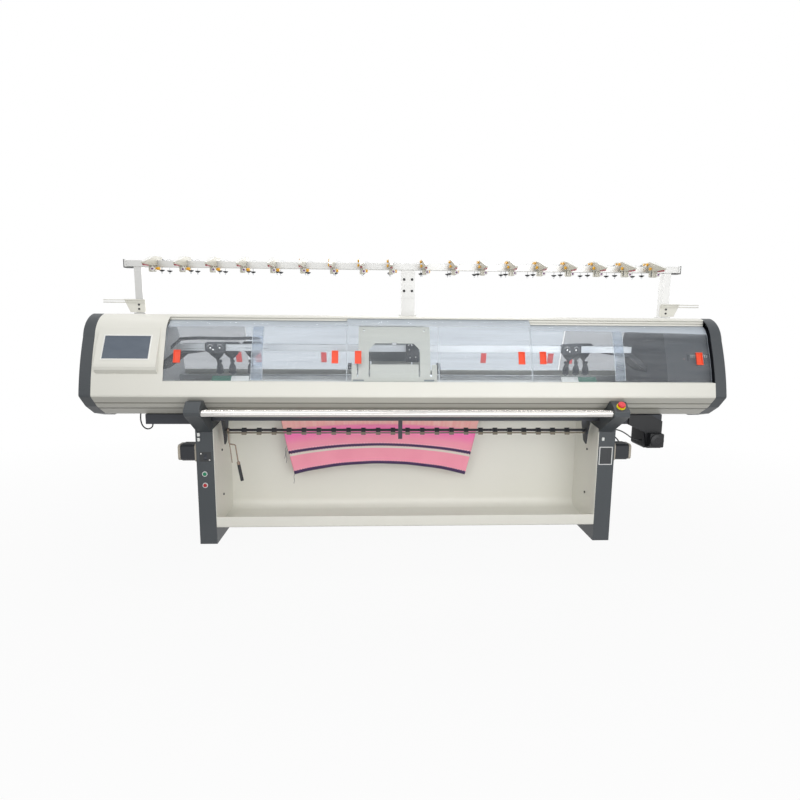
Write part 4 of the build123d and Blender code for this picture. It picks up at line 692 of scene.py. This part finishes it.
# Each carrier's middle along X, its rail's depth, and the depth of the flat guide at its tip.
carriers = ((-1.198, -0.042, 0.0255), (-1.120, 0.008, 0.0305), (-1.005, 0.108, 0.0405),
            (1.045, -0.042, 0.0255), (1.115, 0.058, 0.0355), (1.180, 0.108, 0.0405))
for number, (x, rail_y, tip_y) in enumerate(carriers, start=1):
    front_y = rail_y - 0.0205
    screws_at = [(x + step, front_y, z) for step, z in ((-0.028, 1.196), (0.028, 1.196), (-0.012, 1.186))]
    parts = [(copies(turned(carrier_screw, (0, 0, 0), (0, -1, 0), 14), screws_at), chrome)]
    for middle in (-0.030, 0.030):
        hook = np.stack([x + middle + 0.017 * np.cos(arc_angle), np.full_like(arc_angle, front_y - 0.002),
                         1.206 + 0.012 * np.sin(arc_angle)], -1)
        parts.append((rod(hook, 0.0014, (0, 1, 0)), chrome))
    egg = np.c_[x + 0.021 * np.cos(egg_turn) * (1.0 - 0.18 * np.sin(egg_turn)),
                1.070 + 0.032 * np.sin(egg_turn)]
    collar = [(x - 0.010, 1.100), (x - 0.016, 1.108), (x - 0.013, 1.120), (x + 0.013, 1.120),
              (x + 0.016, 1.108), (x + 0.010, 1.100)]
    for outline in (egg, collar):
        guide = bar("y", outline, tip_y - flat_half, tip_y + flat_half, flat_chamfer)
        parts.append((guide, black_plastic))
    piece(f"carrier_fittings_{number}", parts, f"yarn_carrier_{number}")


# Controls: emergency stop with its red mushroom and yellow collar, green and red push buttons in
# silver rings, a switch plate on the left leg and a blank nameplate on the right one. The buttons are
# moulded plastic, the plates sheet metal screwed or riveted to the legs.
def fitted(wire):
    """The leg fittings' finishes by place: silver rings, dark plates, white clips, a yellow collar."""
    point, along, _, height = wire.place()
    grain = wire.noise(point, 900.0, 2.0)
    switch_plate = inside((along, height), ((-1.264, -1.192), (0.520, 0.586)))
    name_plate = inside((along, height), ((1.1915, 1.2645), (0.501, 0.605)))
    clips = inside((height,), ((0.645, 0.705),))
    collar = height > 0.80
    colour = grain.mix((196, 198, 199), (222, 223, 222))
    for where, dull, bright in ((switch_plate + name_plate, (40, 42, 45), (58, 60, 62)),
                                (clips, (226, 228, 226), (240, 241, 239)),
                                (collar, (236, 216, 20), (246, 230, 44))):
        colour = where.mix(colour, grain.mix(dull, bright))
    return {"Base_Color": colour, "Roughness": grain * 0.2 + 0.30, "Normal": wire.bump(grain, 0.0001)}


dress(finish("leg_fittings_coat", fitted), "leg_fittings")
for coat_name, colour, shadow, gloss, dressed in (
        ("stop_red", (226, 62, 70), 0.86, 0.34, "stop_mushroom"),
        ("button_red", (176, 22, 34), 0.8, 0.3, "stop_button"),
        ("button_green", (8, 122, 84), 0.8, 0.3, "start_button")):
    dress(finish(coat_name, moulded(colour, shadow, gloss=gloss)), dressed)
dress(black_plastic, "stop_stem", "power_toggle")


# Take-down: a black steel shaft of spring clips with a bare rod below it, and a bent brass lever with
# a black grip. Its two steppers and the main motor, with its round cap, are black cast and moulded
# housings, and the screws are black bolts or white heads.
def clip_metal(wire):
    """The black shaft and clips above, and the bare rod and chromed clip rings below."""
    point, _, _, height = wire.place()
    grain = wire.noise(wire.stretched(point, 4.0, 160.0, 160.0), 1.0)
    rod_top = 0.6885
    low = height < rod_top
    bare = grain.mix((92, 86, 76), (146, 138, 124))
    return {"Base_Color": low.mix(grain.mix((20, 22, 28), (38, 40, 46)), bare),
            "Roughness": grain * 0.2 + 0.28, "Metallic": low * 0.9, "Normal": wire.bump(grain, 0.0002)}


def lever_metal(wire):
    """A brass-coloured rod with a black moulded grip round its lower end."""
    point, along, _, height = wire.place()
    grain = wire.noise(point, 240.0)
    grip_top, grip_side = 0.478, -1.064
    grip = (height < grip_top) * (along > grip_side)
    brass = grain.mix((118, 102, 92), (170, 152, 138))
    return {"Base_Color": grip.mix(brass, grain.mix((26, 27, 31), (42, 43, 47))),
            "Roughness": grain * 0.2 + 0.26 + grip * 0.2, "Metallic": 0.9 - grip * 0.9,
            "Normal": wire.bump(grain, 0.0002)}


def stepper_coat(wire):
    """Black stepper bodies between bare cast flanges."""
    point, along, _, _ = wire.place()
    grain = wire.noise(point, 300.0)
    inner_flange, outer_flange = 1.296, 1.383
    flange = (abs(along) < inner_flange) + (abs(along) > outer_flange)
    return {"Base_Color": flange.mix(grain.mix((22, 25, 31), (38, 41, 47)),
                                     grain.mix((150, 142, 130), (186, 179, 166))),
            "Roughness": grain * 0.2 + 0.34, "Normal": wire.bump(grain, 0.0002)}


dress(finish("clip_metal", clip_metal), "clip_shaft")
dress(finish("lever_metal", lever_metal), "pressure_lever")
dress(finish("stepper_coat", stepper_coat), "takedown_motors")
motor_black = finish("motor_black", moulded((15, 17, 21), 0.8, 420.0, 0.44))
dress(motor_black, "main_motor")
cap_view = [(0.0, 0.041), (0.006, 0.041), (0.009, 0.037), (0.009, 0.017), (0.011, 0.015), (0.011, 0.0005)]
motor_cap = turned(cap_view, (1.530, -0.2785, 0.655), (0, -1, 0), 40)
piece("motor_cap", [(motor_cap, motor_black)])


def screw_metal(wire):
    """Black bolts on the gantry and the bin, and white screws round the switch plate."""
    point, along, _, height = wire.place()
    grain = wire.noise(point, 500.0)
    switch_plate = inside((along, height), ((-1.27, -1.19), (0.5, 0.6)))
    return {"Base_Color": switch_plate.mix(grain.mix((18, 18, 20), (34, 34, 36)),
                                           grain.mix((212, 212, 208), (236, 236, 232))),
            "Roughness": grain * 0.2 + 0.3, "Normal": wire.bump(grain, 0.0001)}


dress(finish("screw_metal", screw_metal), "screws")


# Tension devices: eighteen moulded cream housings clamped over the yarn rail, each with a red lens,
# yellow knobs and barrel, a white guide with a violet eye, wire loops, and two black discs hanging from
# its rear arm. One is made at X 0, and copied along the rail in two groups of nine.
group_size, first_device, middle_gap, device_step = 9, -1.562, 0.208, 0.1815
device_x = first_device + device_step * np.arange(group_size)
device_x = np.concatenate([device_x, device_x[-1] + middle_gap + device_step * np.arange(group_size)])
cream_shell = finish("cream_housing", moulded((204, 201, 188), 0.93, 500.0, 0.4))
lamp_red = finish("lamp_red", moulded((178, 24, 52), 0.75, gloss=0.16), Coat_Weight=0.6)
yellow_knob, disc_black, grey_knob, violet, white_plastic = (
    finish(coat_name, moulded(colour, shadow, gloss=gloss))
    for coat_name, colour, shadow, gloss in (
        ("yellow_knob", (250, 186, 44), 0.86, 0.34), ("disc_black", (24, 25, 30), 0.8, 0.26),
        ("device_grey", (118, 122, 126), 0.86, 0.5), ("violet_insert", (122, 66, 128), 0.8, 0.3),
        ("white_plastic", (236, 236, 232), 0.93, 0.34)))
side_view = np.array([(-0.182, 1.693), (-0.182, 1.702), (-0.023, 1.752), (0.089, 1.758), (0.089, 1.740),
                      (0.049, 1.7318), (0.0017, 1.7318), (0.0017, 1.700), (-0.077, 1.692)])
slim = np.interp(side_view[:, 0], (-0.182, -0.060), (0.0060, 0.0140))
shrunk = side_view * 0.985 + side_view.mean(0) * 0.015
housing = ringed(np.array([np.c_[slim * -1.00, shrunk], np.c_[slim * -0.92, side_view],
                           np.c_[slim * 0.92, side_view], np.c_[slim * 1.00, shrunk]]))
# Painted highlight: a thin white skin over each housing's top stands for the light falling on it, above
# the cream of its shaded sides.
lit_top_view = np.array([(-0.1835, 1.7030), (-0.0234, 1.7534), (0.0895, 1.7594), (0.0895, 1.7576),
                     (-0.0228, 1.7516), (-0.1822, 1.7014)])
lit_top_slim = np.interp(lit_top_view[:, 0], (-0.182, -0.060), (0.0068, 0.0148))
lit_top_skin = ringed(np.array([np.c_[-lit_top_slim, lit_top_view], np.c_[lit_top_slim, lit_top_view]]))
# Turned profiles, as (distance along, radius).
knob = [(0.0, 0.0060), (0.003, 0.0060), (0.0035, 0.0086), (0.010, 0.0094), (0.0118, 0.0086),
        (0.0122, 0.005)]
small_knob = [(0.0, 0.0045), (0.003, 0.0045), (0.0035, 0.0064), (0.007, 0.0070), (0.0085, 0.005)]
barrel = [(0.0, 0.0040), (0.006, 0.0040), (0.0065, 0.0080), (0.010, 0.0090), (0.024, 0.0090),
          (0.027, 0.0076), (0.0275, 0.004)]
guide = [(0.0, 0.008), (0.001, 0.0120), (0.007, 0.0130), (0.0100, 0.0112), (0.0104, 0.0070)]
guide_eye = [(0.0100, 0.0062), (0.0118, 0.0056), (0.0124, 0.0006)]
disc = [(0.0, 0.003), (0.0005, 0.0170), (0.003, 0.0180), (0.009, 0.0100), (0.0115, 0.0055)]
disc_tip = [(0.0112, 0.0050), (0.015, 0.0056), (0.019, 0.0038), (0.022, 0.0044), (0.024, 0.0006)]
# Side views, as (Y, Z).
lens_view = [(-0.168, 1.6855), (-0.168, 1.6935), (-0.096, 1.6935), (-0.096, 1.6865), (-0.104, 1.6845),
             (-0.162, 1.6835)]
front_leg = [(-0.067, 1.6580), (-0.067, 1.7000), (-0.044, 1.7000), (-0.044, 1.6640), (-0.050, 1.6560)]
rear_leg = [(-0.026, 1.6620), (-0.026, 1.7050), (-0.001, 1.7050), (-0.001, 1.6640), (-0.008, 1.6600)]
leg_web = [(-0.046, 1.6700), (-0.046, 1.7010), (-0.024, 1.7010), (-0.024, 1.6700)]
arm_view = [(0.070, 1.7560), (0.258, 1.7350), (0.258, 1.7270), (0.070, 1.7430)]
wire_loops = (
    [(-0.003, 0.158, 1.742), (-0.024, 0.159, 1.752), (-0.046, 0.160, 1.740), (-0.056, 0.160, 1.726)],
    [(0.003, 0.164, 1.742), (0.026, 0.165, 1.754), (0.050, 0.166, 1.740), (0.062, 0.166, 1.726)])
# The white skin on the housing's top is a painted highlight.
device = [(housing, cream_shell), (lit_top_skin, white_plastic)]
for view, half, chamfer, coat in (
        (lens_view, 0.0052, 0.0008, lamp_red), (front_leg, 0.0105, 0.001, cream_shell),
        (rear_leg, 0.0105, 0.001, cream_shell), (leg_web, 0.0075, 0.001, grey_knob),
        (arm_view, 0.0038, 0.0008, grey_knob)):
    device.append((bar("x", view, -half, half, chamfer), coat))
for profile, centre, direction, coat in (
        (small_knob, (-0.0136, 0.053, 1.7460), (-1, 0, 0), yellow_knob),
        (knob, (-0.0136, 0.007, 1.7415), (-1, 0, 0), yellow_knob),
        (knob, (-0.0136, -0.037, 1.7110), (-1, 0, 0), yellow_knob),
        (barrel, (0.0105, -0.014, 1.6790), (1, 0, 0), yellow_knob),
        (guide, (0.0145, -0.0665, 1.6720), (0, -1, 0), white_plastic),
        (guide_eye, (0.0145, -0.0665, 1.6720), (0, -1, 0), violet)):
    device.append((turned(profile, centre, direction), coat))
device += [(rod(eased(loop), 0.0011, (0, 1, 0), 6), chrome) for loop in wire_loops]
for disc_y, disc_z, stem_top in ((0.112, 1.6830, 1.745), (0.243, 1.6900, 1.730)):
    stem = [(0.0, disc_y, disc_z), (0.0, disc_y, 1.715), (0.0, disc_y, stem_top)]
    device += [(turned(disc, (0.0, disc_y, disc_z), (0, 0, -1), 24), disc_black),
               (turned(disc_tip, (0.0, disc_y, disc_z), (0, 0, -1), 14), chrome),
               (rod(stem, 0.0025, (0, 1, 0)), chrome)]
offsets = np.c_[device_x, np.zeros((2 * group_size, 2))]
piece("tension_housings", [(copies(shape, offsets), coat) for shape, coat in device],
      replaces=("tension_devices",))


# Carriage details: a dark grey plate closing the back of the arch, a painted shade for the shadow there, a
# switch block with silver screws behind the window, soft pads at the apron's lower corners, cover screws,
# and dark brush holders at both sides. The plates are bent steel, the rest moulded plastic and rubber,
# screwed or bonded on.
grey_metal = finish("grey_metal", moulded((92, 100, 104), 0.84, 40.0, 0.4))
pad_grey = finish("pad_grey", moulded((150, 156, 160), 0.88, gloss=0.6))
# Painted shade: a dark grey plate closes the back of the arch, where it lies in shadow.
shade_plate = [(0.170, 1.105), (0.170, 1.3235), (0.176, 1.3235), (0.176, 1.105)]
shade_plate_fold = [(0.150, 1.105), (0.150, 1.112), (0.176, 1.112), (0.176, 1.105)]
switch_block = [(-0.094, 1.118), (-0.094, 1.236), (-0.070, 1.240), (-0.070, 1.118)]
switch_hanger = [(-0.078, 1.235), (-0.078, 1.324), (-0.072, 1.324), (-0.072, 1.235)]
parts = [(bar("x", view, start, stop, chamfer), coat) for view, start, stop, chamfer, coat in (
    (shade_plate, -0.300, 0.114, 0.001, grey_metal), (shade_plate_fold, -0.300, 0.114, 0.0, grey_metal),
    (switch_block, -0.014, 0.066, 0.002, black_plastic), (switch_hanger, 0.005, 0.045, 0.0, grey_metal))]
screw_profile = [(0.0, 0.0050), (0.0016, 0.0050), (0.0026, 0.0034), (0.0028, 0.0005)]
screw_spots = [((x, -0.094, z), (0, -1, 0)) for x, z in ((0.002, 1.224), (0.020, 1.224), (0.006, 1.196),
                                                         (0.046, 1.150), (0.012, 1.146))]
y, z = head_arc(0.044, 1.316, 1.323, 1)[0]
screw_spots += [((x, y + 0.0006, z), (0, -0.86, 0.5)) for x in (-0.272, 0.084)]
for start, stop in ((-0.335, -0.271), (0.080, 0.139)):
    parts.append((bent(0.0418, start, stop, 0.0027, (1.013, 1.035), 6, 0.001), pad_grey))
# The brush holders slope, two above each other at each side of the carriage.
holder_near, holder_far, holder_high = -0.312, -0.262, 0.010
for near, far, low, high in ((-0.3435, -0.366, 1.090, 1.112), (0.1575, 0.180, 1.066, 1.112)):
    for step in (0.0, 0.014):
        holder = [(holder_near + step, low + step), (holder_near + step, low + step + holder_high),
                  (holder_far, high + step), (holder_far, high + step - holder_high)]
        parts.append((bar("x", holder, near, far, 0.001), black_plastic))
    screw_spots.append((((near + far) / 2, -0.300, (low + high) / 2), (0, -1, 0.3)))
parts += [(turned(screw_profile, spot, direction, 14), chrome) for spot, direction in screw_spots]
piece("carriage_fittings", parts, "carriage")
y = head_arc(0.044, 1.236, 1.240, 1)[0, 0]
latch = [(y - 0.0015, 1.232), (y - 0.0015, 1.246), (y + 0.012, 1.246), (y + 0.012, 1.232)]
piece("window_latch", [(bar("x", latch, -0.106, -0.080, 0.001), chrome)], "carriage")


# Needles: one hooked steel needle in each trick of both beds, at a pitch of 4.2 mm, held down by the
# bed's bands, with only the hooks showing in the gap.
needles_each_side, needle_half = 241, 0.0006
needle_view = np.array([(0.0110, 0.9955), (0.0270, 1.0140), (0.0288, 1.0190), (0.0276, 1.0200),
                        (0.0250, 1.0168), (0.0098, 0.9992)])
needle_x = np.arange(-needles_each_side, needles_each_side + 1) * needle_pitch
spots = np.c_[needle_x, np.zeros((len(needle_x), 2))]
needle_steel = finish("needle_steel", drawn_metal((176, 180, 184), 0.28), Metallic=0.9)
for bed_name, view in (("front", needle_view), ("rear", needle_view * (-1, 1) + (0.066, 0))):
    needle = bar("x", view, -needle_half, needle_half)
    piece(f"needles_{bed_name}", [(copies(needle, spots), needle_steel)])


# Cover edges: pale polished sealing edges, 4.4 mm wide, bonded on where the front covers meet. Each
# rides its own cover.
for side_name, edge_x in (("left", -0.371), ("middle", 0.165), ("right", 0.718)):
    edge = bent(cover_insets[side_name] + strip_inset, edge_x - 0.0022, edge_x + 0.0022)
    piece(f"seal_edge_{side_name}", [(edge, edge_coat)], f"front_door_{side_name}")


# Cabinet leads: a coiled white lead and a pink hose across the front of the right cabinet, held by two
# black clamps. They are soft plastic.
coils, coil_radius, coil_start, coil_length = 9, 0.009, 1.686, 0.108
coil_turn = np.linspace(0.0, coils * 2 * np.pi, coils * 14)
coil = np.stack([coil_start + coil_length * coil_turn / coil_turn[-1],
                 -0.282 + coil_radius * np.cos(coil_turn), 1.176 + coil_radius * np.sin(coil_turn)], -1)
hose = eased([(1.650, -0.279, 1.160), (1.700, -0.280, 1.152), (1.760, -0.281, 1.150),
              (1.810, -0.279, 1.158)])
pink_hose = finish("pink_hose", moulded((222, 168, 160), 0.9))
clamp_view = [(-0.292, 1.148), (-0.292, 1.188), (-0.266, 1.188), (-0.280, 1.148)]
parts = [(rod(coil, 0.0018, (1, 0, 0), 6), white_plastic), (rod(hose, 0.0030, (0, 1, 0)), pink_hose)]
parts += [(bar("x", clamp_view, x, x + 0.008, 0.001), black_plastic) for x in (1.676, 1.796)]
piece("cabinet_leads", parts)


# Cable band: a black chain of links that runs from the left rail arm over the feeder rails. It is
# a row of moulded links, drawn as one band whose thickness rises and falls with each link.
link_pitch, band_half = 0.018, 0.012
band_x = np.linspace(-1.500, -0.940, 125)
band_z = np.interp(band_x, (-1.500, -1.440, -1.300, -1.150, -1.010, -0.940),
                   (1.196, 1.2490, 1.2565, 1.2520, 1.2575, 1.2500)) + 0.0010 * np.sin(band_x * 31.0)
link_high = 0.0080 + 0.0022 * (np.abs((band_x / link_pitch) % 1.0 - 0.5) < 0.33)
band_rings = np.array([[(x, 0.033 + way * band_half, z + rise * high)
                        for way, rise in ((-1, -1), (1, -1), (1, 1), (-1, 1))]
                       for x, z, high in zip(band_x, band_z, link_high)])
piece("cable_band", [(ringed(band_rings), black_plastic)])


# Gantry fittings: black caps pushed on both ends of the yarn rail, with a foot below each. They are
# moulded plastic and held by friction alone.
cap_black = finish("cap_black", moulded((22, 23, 27), 0.8, gloss=0.4))
end_view = [(-0.0015, 1.6855), (-0.0015, 1.7345), (0.0475, 1.7345), (0.0475, 1.6855)]
foot_view = [(-0.0015, 1.6840), (-0.0015, 1.6868), (0.0475, 1.6868), (0.0475, 1.6840)]
caps = [bar("x", *measures) for measures in (
    (end_view, 1.7465, 1.7505, 0.0008), (foot_view, 1.698, 1.7505, 0.0005),
    (end_view, -1.7505, -1.7465, 0.0008), (foot_view, -1.7505, -1.698, 0.0005))]
piece("rail_end_caps", [(cap, cap_black) for cap in caps])
